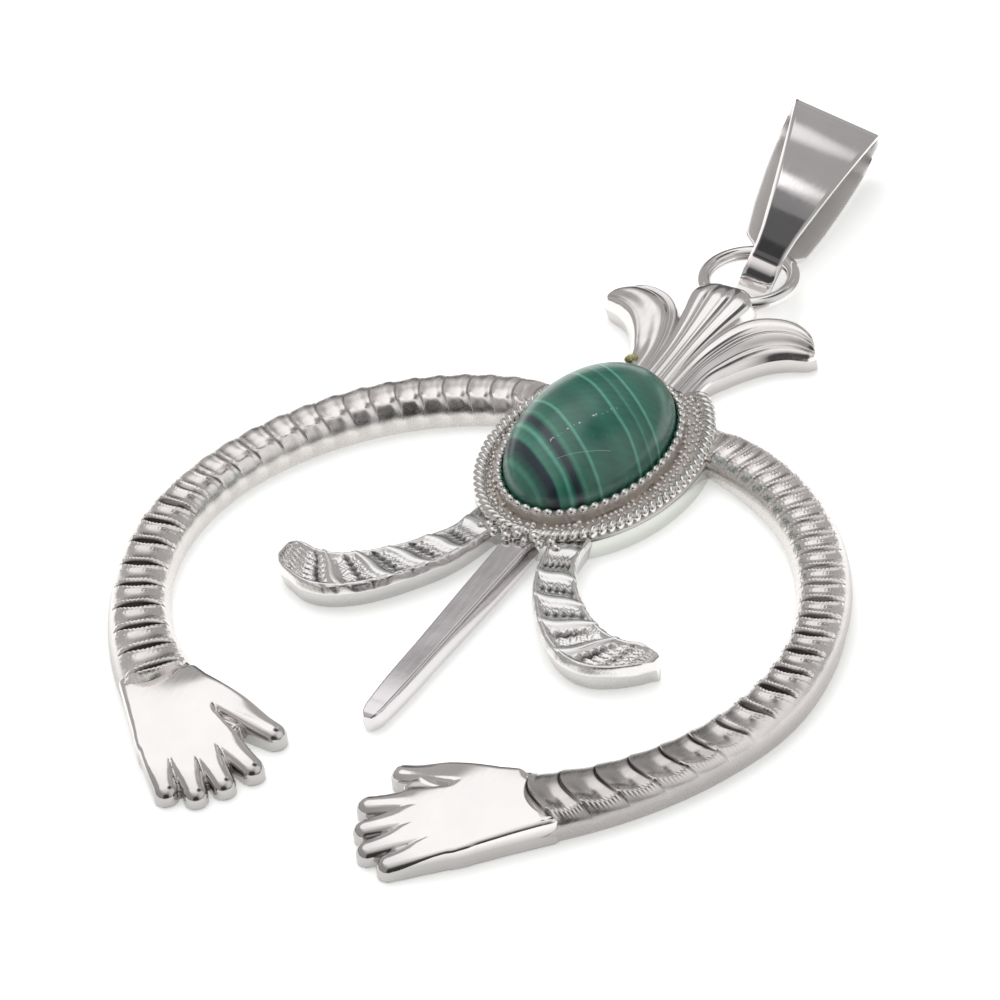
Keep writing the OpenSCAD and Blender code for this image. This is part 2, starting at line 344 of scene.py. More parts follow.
def smoothColumn(keys, values, at):
    # a smooth curve through the table, which keeps every given value
    keys, values, at = (np.asarray(v, dtype=float) for v in (keys, values, at))
    n = len(keys)
    i = np.clip(np.searchsorted(keys, at, side="right") - 1, 0, n - 2)
    slope = np.gradient(values, keys)
    width = keys[i + 1] - keys[i]
    t = np.clip((at - keys[i]) / width, 0, 1)
    m0, m1 = slope[i] * width, slope[i + 1] * width
    return ((2 * t ** 3 - 3 * t ** 2 + 1) * values[i] + (t ** 3 - 2 * t ** 2 + t) * m0
            + (-2 * t ** 3 + 3 * t ** 2) * values[i + 1] + (t ** 3 - t ** 2) * m1)


def edgeSteps(count, crowd):
    # places from 0 to 1 that stand closer together near both edges
    t = np.linspace(0, 1, count)
    return (1 - crowd) * t + crowd * (1 - np.cos(np.pi * t)) / 2


def bumpAt(distance, width, power=2):
    return np.exp(-(np.abs(distance) / width) ** power)


def eased(t):
    # 0 to 1 with a soft start and end
    t = np.clip(t, 0, 1)
    return t * t * (3 - 2 * t)


def alongCourse(course, rows):
    # the table's columns, drawn smoothly through its rows
    course = np.array(course, dtype=float)
    u = np.linspace(0, len(course) - 1, rows)
    columns = [smoothColumn(np.arange(len(course)), column, u)[:, None] for column in course.T]
    return u[:, None], columns


def skinStrip(name, x, y, z, material, mirrored, paintedShade=None, tuck=0.3, wallShade=(0.32, 0.32)):
    # x, y, z: rows along the strip by columns across it, in mm from the crescent's centre. The strip
    # is closed down to the flat back, where its walls have come in by the tuck. With painted shade
    # given, the walls at its two edges get painted shade too
    rows, cols = z.shape
    y = y - plateFromCrescent
    if mirrored:
        x = -x
    top = np.stack([x, y, z], -1)
    foot = top[:, [0, -1]].copy()
    over = foot[:, 1] - foot[:, 0]
    over[:, 2] = 0
    width = np.maximum(np.linalg.norm(over, axis=1, keepdims=True), 0.01)
    inward = over / width * np.minimum(tuck, width * 0.3)
    foot[:, 0] += inward
    foot[:, 1] -= inward
    foot[:, :, 2] = 0
    loops = np.concatenate([foot[:, :1], top, foot[:, 1:]], 1)
    faces = loopFaces(rows, cols + 2)
    if not mirrored:
        faces = [face[::-1] for face in faces]
    shade = 0.0
    # painted shade: each edge wall gets at least its given share
    if paintedShade is not None:
        near, far = (np.full((rows, 1), share) for share in wallShade)
        edges = np.maximum(paintedShade[:, :1], near), np.maximum(paintedShade[:, -1:], far)
        shade = np.concatenate([near, edges[0], paintedShade[:, 1:-1], edges[1], far], 1).ravel()
    addPiece(name, loops.reshape(-1, 3), faces, material, sharpFrom=60, paintedShade=shade)


def smoothLeast(a, b, blend):
    share = np.clip(0.5 + 0.5 * (b - a) / blend, 0, 1)
    return b + (a - b) * share - blend * share * (1 - share)


def smoothMost(a, b, blend):
    return -smoothLeast(-a, -b, blend)


def wrapForm(form, low, high, step):
    # skin over a solid given as a function that is below zero inside it
    axes = [np.arange(lo, hi + step, step) for lo, hi in zip(low, high)]
    inside = form(*np.meshgrid(*axes, indexing="ij"))
    shape = tuple(n - 1 for n in inside.shape)
    total, count = np.zeros(shape + (3,)), np.zeros(shape)
    corner = [np.array([i >> 2 & 1, i >> 1 & 1, i & 1]) for i in range(8)]

    def values(c):
        return inside[c[0]:c[0] + shape[0], c[1]:c[1] + shape[1], c[2]:c[2] + shape[2]]

    for a in corner:
        for axis in range(3):
            if a[axis]:
                continue
            b = a.copy()
            b[axis] = 1
            fa, fb = values(a), values(b)
            crossed = (fa < 0) != (fb < 0)
            t = np.where(crossed, fa / np.where(crossed, fa - fb, 1), 0)
            for k in range(3):
                total[..., k] += crossed * (a[k] + (t if k == axis else 0))
            count += crossed
    used = count > 0
    index = np.full(shape, -1)
    index[used] = np.arange(used.sum())
    cells = np.argwhere(used)
    points = np.array(low) + (cells + total[used] / count[used][:, None]) * step
    tiny = 0.01
    for _ in range(4):  # settle every point onto the form itself
        f = form(*points.T)
        slope = np.stack([(form(*(points + d).T) - form(*(points - d).T)) / (2 * tiny)
                          for d in np.eye(3) * tiny], -1)
        points -= np.clip(f / np.maximum((slope ** 2).sum(-1), 0.05), -step, step)[:, None] * slope
    faces = []
    for axis in range(3):
        u, v = [k for k in range(3) if k != axis]
        lo = [1, 1, 1]
        lo[axis] = 0
        hi = [None if k == axis else -1 for k in range(3)]
        a = inside[lo[0]:-1, lo[1]:-1, lo[2]:-1]
        b = np.moveaxis(np.moveaxis(inside, axis, 0)[1:], 0, axis)[lo[0]:hi[0], lo[1]:hi[1], lo[2]:hi[2]]
        for i, j, k in np.argwhere((a < 0) != (b < 0)):
            at = np.array([i, j, k]) + lo
            quad = []
            for du, dv in ((1, 1), (0, 1), (0, 0), (1, 0)):
                cell = at.copy()
                cell[u] -= du
                cell[v] -= dv
                quad.append(index[tuple(cell)])
            leaving = (a[i, j, k] < 0) == (axis != 1)
            faces.append(tuple(quad if leaving else quad[::-1]))
    return points, faces


# the two ribbed arms of the crescent

armShape = {
    "rows": 1040,
    "across": 62,
    "from": 12,  # degrees from the top
    "to": 142,
    "side": 0.95,  # height of the side walls
    "farSide": 1.35,  # the upper part of the arms stands higher at its outer edge
    "farSideGone": 100,  # degrees from the top where that has run out, over the last 20
    "crown": 3.12,
    "least": 0.6,  # the lowest that any cut reaches
    "innerRun": 0.12,  # shares of the width over which the cuts start at either edge
    "outerRun": 0.26,
    "wave": 0.22,  # rise of the edges between two cuts
    "wallShade": (0.08, 0.4),
    # columns: angle from the top, inner radius, outer radius, share of the crown
    "course": [
        [12, 23.8, 28.0, 0.25], [16, 23.9, 28.1, 0.35], [20, 24.0, 28.3, 0.75], [25, 24.1, 28.6, 0.85],
        [40, 24.5, 29.03, 1], [60, 24.8, 29.15, 1], [80, 24.8, 29.1, 1], [95, 24.3, 28.88, 1],
        [110, 23.4, 28.1, 1], [125, 22.3, 27.5, 1], [136, 21.4, 27.3, 1], [137.8, 21.35, 27.3, 0.98],
        [138.8, 21.3, 27.3, 0.4], [142, 21.0, 27.3, 0.2]],
    # angles of the cuts, as hand-cut: not quite alike on the two arms
    "leftCuts": [
        13.5, 17.5, 21, 25, 29.2, 33.6, 37.8, 42, 46.6, 51.2, 56.2, 61, 66, 71, 76, 80.8, 85.6, 90.4, 95.4,
        101, 107, 112.6, 118.4, 124.3, 130.4, 136.5, 149],
    "rightCuts": [
        13.5, 17.5, 21, 24.8, 28.6, 32.4, 36.2, 40, 44, 48, 52, 56, 60.2, 64.4, 68.6, 72.8, 77.2, 81.8,
        86.6, 91.6, 97, 102.4, 108, 113.6, 119.4, 125.4, 131.6, 137.2, 149],
    # columns: angle, share of slits, share of dishes, share of scallops, darkness of the slits,
    # slant in degrees, bow towards the hand in mm
    "leftLook": [
        [12, 0, 1, 0, 0.2, -2.0, 0.6], [50, 0, 1, 0, 0.3, -2.0, 0.6], [80, 0.2, 0.8, 0, 0.6, -0.4, 0.7],
        [90, 0.8, 0.2, 0, 0.9, 0.3, 0.8], [96, 1, 0, 0, 1, 0.6, 0.9], [142, 1, 0, 0, 1, 1.3, 1.0]],
    "rightLook": [
        [12, 0.7, 0.3, 0, 0.15, -1.0, 0.6], [32, 0.9, 0.1, 0, 0.25, -0.8, 0.7],
        [50, 1, 0, 0, 0.4, -0.4, 0.9], [70, 1, 0, 0, 0.8, 0.0, 0.9], [94, 1, 0, 0, 1, 0.0, 1.0],
        [104, 0.4, 0, 0.6, 0.6, 0.0, 1.2], [110, 0, 0, 1, 0.2, 0.0, 1.4], [142, 0, 0, 1, 0, 0.0, 1.4]],
}
# a slit at every cut, darkened with painted shade, between two toothed ridges. Lengths in mm, reaches as
# shares of the width
slitShape = {
    "middle": 0.48,
    "reach": 0.4,
    "slitShadowReach": 0.42,
    "half": 0.07,
    "darkHalf": 0.2,  # added where the slits are dark
    "unlike": 0.3,
    "depth": 0.12,
    "ridge": 0.21,
    "ridgeWidth": 0.17,
    "teeth": 15,
    "toothShare": 0.22,
    "toothDrift": 0.37,  # share of a tooth from one slit to the next
    "ridgeNear": 0.1,  # place of the ridge at the slit's ends, and how much further off in the middle
    "ridgeBow": 0.16,
    "darkPush": 0.24,  # how much further off where the slits are dark
    "outerRow": 0.25,  # a fainter row of teeth beyond the ridge
    "outerRowAt": 0.58,
    "trough": 0.05,  # sink of the field between two slits
    "troughShade": 0.2,
}
# a soft dish between two cuts. Patches: height or painted shade, place and width across, place and width
# along
dishShape = {
    "foot": (0.17, 0.13, 0.07, 0.6, 0.33),
    "head": (0.07, 0.84, 0.09, 0.55, 0.33),
    "undercutShade": (0.4, 0.04, 0.035, 0.7, 0.3),
    "bowl": 0.14,
    "lobe": 0.1,
    "seam": 0.12,
    "seamShade": 0.5,
    "bowlShade": 0.2,
}
# a scallop that rises from one cut to the next and ends in a frill near the outer edge
scallopShape = {
    "rise": 0.26,
    "sink": 0.12,
    "start": 0.35,  # share of the width over which it starts
    "frill": 0.12,
    "frillAt": 0.84,
    "frillTeeth": 9,
    "seamShade": 0.85,
    "bodyShade": 0.3,
}


def armDome(v):
    return np.maximum(0, 1 - np.abs(2 * v - 1) ** 2.6) ** 0.62


def cutSlits(v, gap, phase, number, dark, edge):
    shape = slitShape
    off = v - shape["middle"]
    lens = np.sqrt(np.clip(1 - (off / shape["reach"]) ** 2, 0, 1))
    taper = np.clip(1 - (off / shape["slitShadowReach"]) ** 2, 0, 1) ** 0.8
    unlike = 1 + shape["unlike"] * np.sin(number * 2.4 + 1.1)
    half = shape["half"] + shape["darkHalf"] * dark * taper * unlike
    slot = bumpAt(gap, half, 4) * np.minimum(1, lens * 3)
    # painted shade down the slit, deepest where the slits are dark
    slitShadow = bumpAt(gap, 0.02 + (0.04 + half) * taper, 6) * np.minimum(1, taper * 4)
    tooth = np.sin((v * shape["teeth"] + shape["toothDrift"] * number) * 2 * np.pi)
    toothed = 1 - shape["toothShare"] + shape["toothShare"] * tooth * edge
    push = shape["darkPush"] * dark
    offRidge = gap - shape["ridgeNear"] - (shape["ridgeBow"] + push) * lens
    ridge = bumpAt(offRidge, shape["ridgeWidth"]) * toothed * np.minimum(1, lens * 3)
    outerRow = shape["outerRow"] * bumpAt(gap - shape["outerRowAt"] - push, 0.1) * (0.5 - 0.5 * tooth)
    field = shape["ridge"] * (ridge + outerRow) - shape["trough"] * bumpAt(phase - 0.5, 0.2)
    trough = (1 - np.minimum(1, ridge * 1.4)) * bumpAt(v - 0.45, 0.3)
    return field * edge - shape["depth"] * slot, dark * slitShadow + shape["troughShade"] * dark * trough


def softPatch(v, phase, patch, slant=0.0):
    amount, vAt, vWidth, phaseAt, phaseWidth = patch
    return amount * bumpAt(v - vAt - slant * phase, vWidth) * bumpAt(phase - phaseAt, phaseWidth, 4)


def cutDishes(v, phase, after, edge):
    shape = dishShape
    bowl = shape["bowl"] * (1 - np.abs(2 * phase - 1) ** 2.4) * bumpAt(v - 0.45, 0.25)
    lobe = shape["lobe"] * bumpAt(phase - 0.3 - 0.2 * v, 0.2)
    height = (lobe - bowl - shape["seam"] * bumpAt(after, 0.12)) * edge
    height = height + softPatch(v, phase, shape["foot"], 0.05) + softPatch(v, phase, shape["head"])
    # painted shade along the seam and under the dish's near edge
    shade = shape["seamShade"] * bumpAt(after - 0.1, 0.1) * edge + softPatch(v, phase, shape["undercutShade"])
    return height, shade + shape["bowlShade"] * bumpAt(phase - 0.72 + 0.2 * v, 0.2) * bumpAt(v - 0.48, 0.26)


def cutScallops(v, phase, after, edge):
    shape = scallopShape
    frill = bumpAt(v - shape["frillAt"] - 0.05 * np.sin(np.pi * phase), 0.035)
    frill = frill * (0.75 + 0.25 * np.sin(phase * 2 * np.pi * shape["frillTeeth"]))
    body = shape["rise"] * phase ** 2 - shape["sink"] * (1 + bumpAt(phase - 0.4, 0.25))
    height = body * edge * np.clip(v / shape["start"], 0, 1) + shape["frill"] * frill
    belly = bumpAt(v - 0.5, 0.3) + bumpAt(phase - 0.75, 0.14) * bumpAt(v - 0.68, 0.12)
    return height, shape["seamShade"] * bumpAt(after - 0.1, 0.11) * edge + shape["bodyShade"] * belly


def makeArm(side):
    shape = armShape
    keys = ("course", side + "Cuts", side + "Look")
    course, cuts, look = (np.array(shape[key], dtype=float) for key in keys)
    angle = np.linspace(shape["from"], shape["to"], shape["rows"])[:, None]
    v = edgeSteps(shape["across"], 0.6)[None, :]
    inner, outer, share = (smoothColumn(course[:, 0], course[:, n], angle) for n in (1, 2, 3))
    at, *looks = look.T
    slits, dishes, scallops, dark, slant, bow = (np.interp(angle, at, column) for column in looks)
    radius = inner + (outer - inner) * v
    number = np.clip(np.searchsorted(cuts, angle[:, 0], side="right") - 1, 0, len(cuts) - 2)[:, None]
    start, end = cuts[number], cuts[number + 1]
    phase = np.clip((angle - start) / (end - start), 0, 1)  # 0 at one cut, 1 at the next
    after = np.radians(angle - start) * radius
    gap = np.minimum(after, np.radians(end - angle) * radius)  # mm from the nearest cut
    edge = eased(np.minimum(v / shape["innerRun"], (1 - v) / shape["outerRun"]))
    slitCut, slitShade = cutSlits(v, gap, phase, number, dark, edge)
    dishCut, dishShade = cutDishes(v, phase, after, edge)
    scallopCut, scallopShade = cutScallops(v, phase, after, edge)
    wave = shape["wave"] * np.sin(np.pi * phase) * (dishes * bumpAt(v, 0.06) + scallops * bumpAt(1 - v, 0.06))
    farShare = v * np.clip((shape["farSideGone"] - angle) / 20, 0, 1)
    wall = shape["side"] + (shape["farSide"] - shape["side"]) * farShare
    z = wall + share * (shape["crown"] - wall) * armDome(v)
    z = z + share * (slits * slitCut + dishes * dishCut + scallops * scallopCut + wave)
    turn = np.radians(angle + np.degrees(bow / radius) * (np.sin(np.pi * v) - 0.5) + slant * (v - 0.5))
    shade = slits * slitShade + dishes * dishShade + scallops * scallopShade
    shade = shade + 0.2 * bumpAt(v, 0.05) + 0.5 * bumpAt(1 - v, 0.06)  # painted shade along both edges
    skinStrip(side + "Arm", radius * np.sin(turn), radius * np.cos(turn), np.maximum(z, shape["least"]),
              metals["ribbed"], side == "left", np.clip(shade, 0, 1), wallShade=shape["wallShade"])


makeArm("left")
makeArm("right")
print("arms cut")


# the open hands that the arms end in

handShape = {
    "step": 0.12,
    "low": (3.6, -29.2, -0.4),  # the space that the form is looked for in
    "high": (20.0, -15.0, 3.8),
    "edge": 0.5,  # rounding along the top edges
    "crotch": 0.25,  # how softly the outlines of two fingers meet
    "webBlend": 0.2,
    "crown": 0.36,  # how far a finger's sides fall below its ridge
    "crownReach": 1.4,  # radii from the ridge over which they fall
    "run": 3.0,  # mm over which a finger's ridge rises out of the palm
    "lowShade": 0.55,  # painted shade down the walls and between the fingers
    "lowShadeBelow": 1.7,
    # columns: root x and y, radius, tip x and y, radius, mm from the root to where the ridge starts
    "fingers": [
        [12.4, -18.05, 1.3, 5.6, -18.8, 0.95, 3.2], [10.8, -20.6, 1.2, 5.05, -22.75, 0.94, 2.4],
        [10.6, -21.9, 1.2, 6.1, -25.0, 0.92, 1.8], [11.2, -23.2, 1.2, 7.4, -26.75, 0.92, 1.6],
        [13.4, -23.5, 1.22, 9.55, -27.45, 0.94, 2.2]],
    # webs between the fingers' roots: x, y and radius at both ends, height
    "webs": {
        "left": [
            [11.6, -19.4, 1.2, 8.9, -19.9, 0.85, 1.6], [9.6, -21.3, 1.0, 8.1, -22.3, 0.7, 1.4],
            [9.8, -23.2, 1.0, 8.5, -24.5, 0.7, 1.35], [11.2, -24.6, 1.0, 10.0, -25.8, 0.7, 1.3]],
        "right": [
            [11.4, -19.6, 1.2, 7.7, -20.3, 1.0, 1.95], [9.6, -21.3, 1.0, 7.8, -22.5, 0.7, 1.45],
            [9.8, -23.2, 1.0, 8.4, -24.6, 0.7, 1.35], [11.2, -24.6, 1.0, 9.9, -25.9, 0.7, 1.3]],
    },
    # the palm's corners, walked round. Its side wall stands off from them
    "outline": [[15.2, -16.8], [12.0, -18.1], [10.6, -21.2], [11.4, -23.3], [13.1, -24.0], [17.55, -19.4]],
    "standOff": 1.1,
    "corner": 0.5,
    # columns: x, y, height of the hand
    "swell": [
        [16.6, -17.7, 2.6], [15.1, -16.7, 2.7], [17.9, -19.6, 2.2], [13.9, -17.3, 3.0],
        [15.6, -19.3, 2.75], [12.0, -17.8, 3.1], [10.2, -18.2, 2.8], [8.0, -18.5, 2.25], [5.4, -18.8, 1.5],
        [13.5, -20.4, 2.75], [11.0, -20.6, 2.75], [16.6, -21.0, 2.1], [14.9, -22.8, 2.0],
        [12.6, -24.8, 1.9], [10.9, -26.2, 1.6], [9.4, -27.7, 1.25], [9.0, -21.4, 2.4], [7.2, -21.9, 2.0],
        [4.8, -22.9, 1.45], [9.5, -22.8, 2.3], [8.0, -23.7, 1.9], [5.8, -25.2, 1.4], [10.4, -23.9, 2.15],
        [9.0, -25.3, 1.7], [7.2, -27.0, 1.3]],
    "swellReach": 1.6,
}
# where the hand meets the arm and its dome
wristShape = {
    "start": (15.2, -16.8),  # where the wrist's line meets the palm's inner edge
    "way": (-0.742, -0.670),  # towards the fingers
    "inner": 21.3,  # inner radius and width of the arm there
    "width": 6.0,
    "domeFrom": 0.18,  # the dome is cut off near its two edges
    "domeTo": 0.82,
    "drop": 0.2,  # how far the hand lies below the arm
    "fade": 2.2,  # mm over which the dome is let go
    "rise": 2.5,
    "blend": 0.3,
}
far = 99.0  # mm, further than anything here


def nearRod(x, y, rod):
    # share of the way along a tapering rod, distance from its line, and its radius there
    x0, y0, r0, x1, y1, r1 = rod
    dx, dy = x1 - x0, y1 - y0
    t = np.clip(((x - x0) * dx + (y - y0) * dy) / (dx * dx + dy * dy), 0, 1)
    return t, np.hypot(x - x0 - t * dx, y - y0 - t * dy), r0 + (r1 - r0) * t


def handTop(x, y):
    # height of the back of the hand, swelling between the table's places
    height, weight = 0, 1e-9
    for px, py, ph in handShape["swell"]:
        w = np.exp(-((x - px) ** 2 + (y - py) ** 2) / (2 * handShape["swellReach"] ** 2))
        height, weight = height + w * ph, weight + w
    return height / weight


def palmWall(x, y):
    # distance from the palm's rounded side wall, below zero inside it
    corners = np.array(handShape["outline"])
    wall = np.full_like(x, -far)
    for a, b in zip(corners, np.roll(corners, -1, 0)):
        way = (b - a) / np.hypot(*(b - a))
        wall = smoothMost(wall, (x - a[0]) * way[1] - (y - a[1]) * way[0], handShape["corner"])
    return wall - handShape["standOff"]


def wristTop(x, y):
    shape = wristShape
    away = (x - shape["start"][0]) * shape["way"][0] + (y - shape["start"][1]) * shape["way"][1]
    across = np.clip((np.hypot(x, y) - shape["inner"]) / shape["width"], shape["domeFrom"], shape["domeTo"])
    dome = armShape["side"] + (armShape["crown"] - armShape["side"]) * armDome(across)
    return dome - shape["drop"] + shape["rise"] * np.clip(away / shape["fade"], 0, 1)


def handForm(side, x, y, z):
    shape = handShape
    wall = palmWall(x, y)
    webs = np.full_like(x, far)
    for *web, webTop in shape["webs"][side]:
        _, away, radius = nearRod(x, y, web)
        webs = np.minimum(webs, smoothMost(away - radius, z - webTop, shape["edge"]))
    fromRidge, run = np.full_like(x, far), np.zeros_like(x)
    for *rod, begin in shape["fingers"]:
        t, away, radius = nearRod(x, y, rod)
        wall = smoothLeast(wall, away - radius, shape["crotch"])
        closer = away / radius < fromRidge
        fromRidge = np.where(closer, away / radius, fromRidge)
        long = np.hypot(rod[3] - rod[0], rod[4] - rod[1])
        run = np.where(closer, (t * long - begin) / shape["run"], run)
    fall = shape["crown"] * eased(run) * np.minimum(fromRidge, shape["crownReach"]) ** 2
    top = smoothLeast(handTop(x, y) - fall, wristTop(x, y), wristShape["blend"])
    upper = smoothMost(wall, z - top, shape["edge"])
    return smoothMost(smoothLeast(upper, webs, shape["webBlend"]), -z, 0.03)


def makeHand(side):
    shape = handShape
    points, faces = wrapForm(lambda *at: handForm(side, *at), shape["low"], shape["high"], shape["step"])
    points[:, 1] -= plateFromCrescent
    # painted shade, deeper towards the floor, down the walls and between the fingers
    shade = shape["lowShade"] * np.clip((shape["lowShadeBelow"] - points[:, 2]) / 0.7, 0, 1)
    if side == "left":
        points[:, 0] *= -1
        faces = [face[::-1] for face in faces]
    addPiece(side + "Hand", points, faces, metals["palm"], sharpFrom=70, paintedShade=shade)


makeHand("right")
makeHand("left")
print("hands formed")


# leaves, blade and blossom

leafShape = {
    "rows": 560,
    "across": 76,
    "tuck": 0.45,
    # columns: inner edge x and y, outer edge x and y, side wall, crown
    "course": [
        [2.2, 8.6, 5.2, 10.2, 1.5, 2.0], [2.9, 5.6, 5.6, 7.2, 1.5, 2.2], [3.7, 3.4, 7.0, 4.9, 1.5, 2.3],
        [4.9, 1.4, 8.6, 3.0, 1.5, 2.3], [6.5, -0.8, 10.2, 1.7, 1.5, 2.3], [8.3, -2.6, 11.5, 0.9, 1.5, 2.3],
        [10.4, -3.8, 12.8, 0.5, 1.5, 2.3], [12.4, -4.0, 14.0, 0.5, 1.5, 2.3],
        [14.1, -3.35, 14.9, 0.75, 1.45, 2.25]],
    # the last rows round the tip off
    "leftTip": [
        [15.15, -2.8, 15.55, 0.75, 1.2, 2.2], [15.8, -2.15, 15.95, 0.5, 1.15, 2.15],
        [16.15, -1.5, 16.2, 0.1, 1.1, 2.05], [16.3, -1.0, 16.33, -0.4, 1.1, 1.95]],
    "rightTip": [
        [15.5, -2.35, 15.9, 0.4, 1.2, 2.2], [16.35, -1.45, 16.5, 0.05, 1.15, 2.1],
        [16.8, -0.85, 16.85, -0.3, 1.1, 1.95]],
    # diagonal ribs: where each one meets the inner and the outer edge, in rows of the course
    "ribs": [[0.1, 0.6], [1.2, 2.0], [2.5, 3.3], [3.7, 4.6], [5.3, 6.3]],
    "ribWidth": 0.27,
    "ribBend": 0.12,  # the ribs run into both rims at a slant
    "rimAt": 0.1,
    "rimWidth": 0.06,
    "edgeRun": 0.05,  # share of the width over which the leaf falls away at both edges
    "tipRun": 0.35,  # rows over which it does so at its end
    "plainTip": 1.7,  # rows before the end where the tip's flat border starts
    "plainTipRun": 0.4,
    "rootShade": 0.5,
    "ground": 0.55,  # share of the crown that the fields between the ribs reach
    "teeth": 7,  # of the saw line that edges pits and long cuts
    "pit": 0.3,
    "pitAt": 0.72,  # rows beyond a rib
    "pitWidth": 0.17,
    "pitTeeth": 0.9,  # how far the saw line divides the pits
    "longFrom": 3,  # the field from which the right leaf has one long dark cut in each
    "longCutAt": 0.55,
    "longCutWidth": 0.15,
    "longCutTeeth": 0.14,
    "pad": 0.14,
    "hatchFrom": 4,  # the field from which the pads are hatched
    "hatch": 0.15,
    "hatchWaves": 8,
    "grain": 0.05,
    # grain across and along a field: its waves, how far they are bent, and how fast the bend changes
    "grainAcross": (15, 1.3, 9),
    "grainAlong": (4.5, 2.1, 21),
}


def leafFields(u, v):
    # how much of a rib is here, how far behind the last rib this is, and that rib's number
    shape = leafShape
    rib = np.zeros_like(u + v)
    field = np.full_like(rib, 9.0)
    number = np.zeros_like(rib)
    for n, (start, end) in enumerate(shape["ribs"]):
        gap = u - (start + (end - start) * (v + shape["ribBend"] * np.sin(2 * np.pi * v)))
        rib = np.maximum(rib, bumpAt(gap, shape["ribWidth"], 3))
        field = np.where(gap > 0, np.minimum(field, gap), field)
        number = np.where(gap > 0, n, number)
    return rib, field, number


def leafCuts(side, v, field, number):
    # a saw line, and the pits behind each rib or the long cuts that it edges
    shape = leafShape
    saw = np.abs((v * shape["teeth"] + field * 0.5) % 1 - 0.5) * 2
    pitReach = np.abs(field - shape["pitAt"]) / shape["pitWidth"] + shape["pitTeeth"] * (1 - saw)
    longCut = bumpAt(field - shape["longCutAt"] - shape["longCutTeeth"] * saw, shape["longCutWidth"])
    isLong = (side == "right") & (number >= shape["longFrom"])
    return saw, np.where(isLong, longCut * bumpAt(v - 0.42, 0.3), bumpAt(pitReach, 1, 3))


def leafPads(v, field, number, saw):
    # raised pads between the ribs: grained and toothed, or hatched towards the tip
    shape = leafShape
    waves, bend, bendWaves = shape["grainAcross"]
    grain = np.sin(v * 2 * np.pi * waves + bend * np.sin(field * bendWaves))
    waves, bend, bendWaves = shape["grainAlong"]
    grain = grain * np.sin(field * 2 * np.pi * waves + bend * np.sin(v * bendWaves))
    hatch = np.sin(v * 2 * np.pi * shape["hatchWaves"] + field * 1.2) * bumpAt((field * 0.8) % 1 - 0.5, 0.36)
    hatched = number >= shape["hatchFrom"]
    pad = np.where(hatched, np.clip((field - 0.25) / 0.2, 0, 1), bumpAt(field - shape["pitAt"], 0.5))
    toothed = shape["grain"] * grain + 0.1 * saw * bumpAt(field - shape["pitAt"], 0.32)
    return pad, np.where(hatched, shape["hatch"] * hatch + 0.02 * grain, toothed)


def makeLeaf(side):
    shape = leafShape
    u, (xr, yr, xl, yl, wall, crown) = alongCourse(shape["course"] + shape[side + "Tip"], shape["rows"])
    v = edgeSteps(shape["across"], 0.5)[None, :]
    last = u[-1, 0]
    tip = np.clip((last - u) / shape["tipRun"], 0, 1)
    edge = np.minimum(1, np.minimum(v, 1 - v) / shape["edgeRun"])
    rib, field, number = leafFields(u, v)
    rim = bumpAt(np.minimum(v, 1 - v) - shape["rimAt"], shape["rimWidth"])
    rim = np.maximum(rim, eased((u - last + shape["plainTip"]) / shape["plainTipRun"]))
    raised = np.maximum(rib, rim)
    saw, cuts = leafCuts(side, v, field, number)
    cuts = cuts * (1 - raised)
    pad, relief = leafPads(v, field, number, saw)
    rise = (crown - wall) * edge ** 0.75 * tip ** 0.5 * (shape["ground"] + (1 - shape["ground"]) * raised)
    z = wall + rise + edge * tip * (pad * (1 - raised) * (shape["pad"] + relief) - shape["pit"] * cuts)
    rootShade = shape["rootShade"] * np.clip(1.15 - u, 0, 1) ** 2
    shade = np.clip(cuts + rootShade * (1 - raised), 0, 1) * edge * tip
    skinStrip(side + "Leaf", xr + (xl - xr) * v, yr + (yl - yr) * v, z, metals["leaf"], side == "left",
              shade, tuck=shape["tuck"])


makeLeaf("left")
makeLeaf("right")

bladeShape = {
    "tipRows": 50,
    "rows": 110,
    "across": 24,
    "bevel": 0.15,
    # columns: y, half width, side wall, crown
    "course": [
        [9.0, 1.55, 0.8, 1.95], [5.0, 1.5, 0.8, 1.95], [-5.0, 1.27, 0.8, 1.85], [-12.8, 1.05, 0.8, 1.75],
        [-13.8, 0.95, 0.8, 1.7], [-14.4, 0.7, 0.8, 1.6], [-14.7, 0.4, 0.75, 1.4]],
}


def makeBlade():
    shape = bladeShape
    course = np.array(shape["course"], dtype=float)[::-1]
    tip = np.linspace(course[0, 0], -12.5, shape["tipRows"])
    y = np.concatenate([tip, np.linspace(-12.4, course[-1, 0], shape["rows"])])[:, None]
    half, wall, crown = (smoothColumn(course[:, 0], course[:, n], y) for n in (1, 2, 3))
    v = edgeSteps(shape["across"], 0.6)[None, :]
    x = half * (2 * v - 1)
    bevel = np.clip(np.minimum(v, 1 - v) / shape["bevel"], 0, 1)
    z = wall + (crown - wall) * (1 - (1 - bevel) ** 1.4)
    skinStrip("blade", x, y + 0 * x, z, metals["blade"], True)


makeBlade()

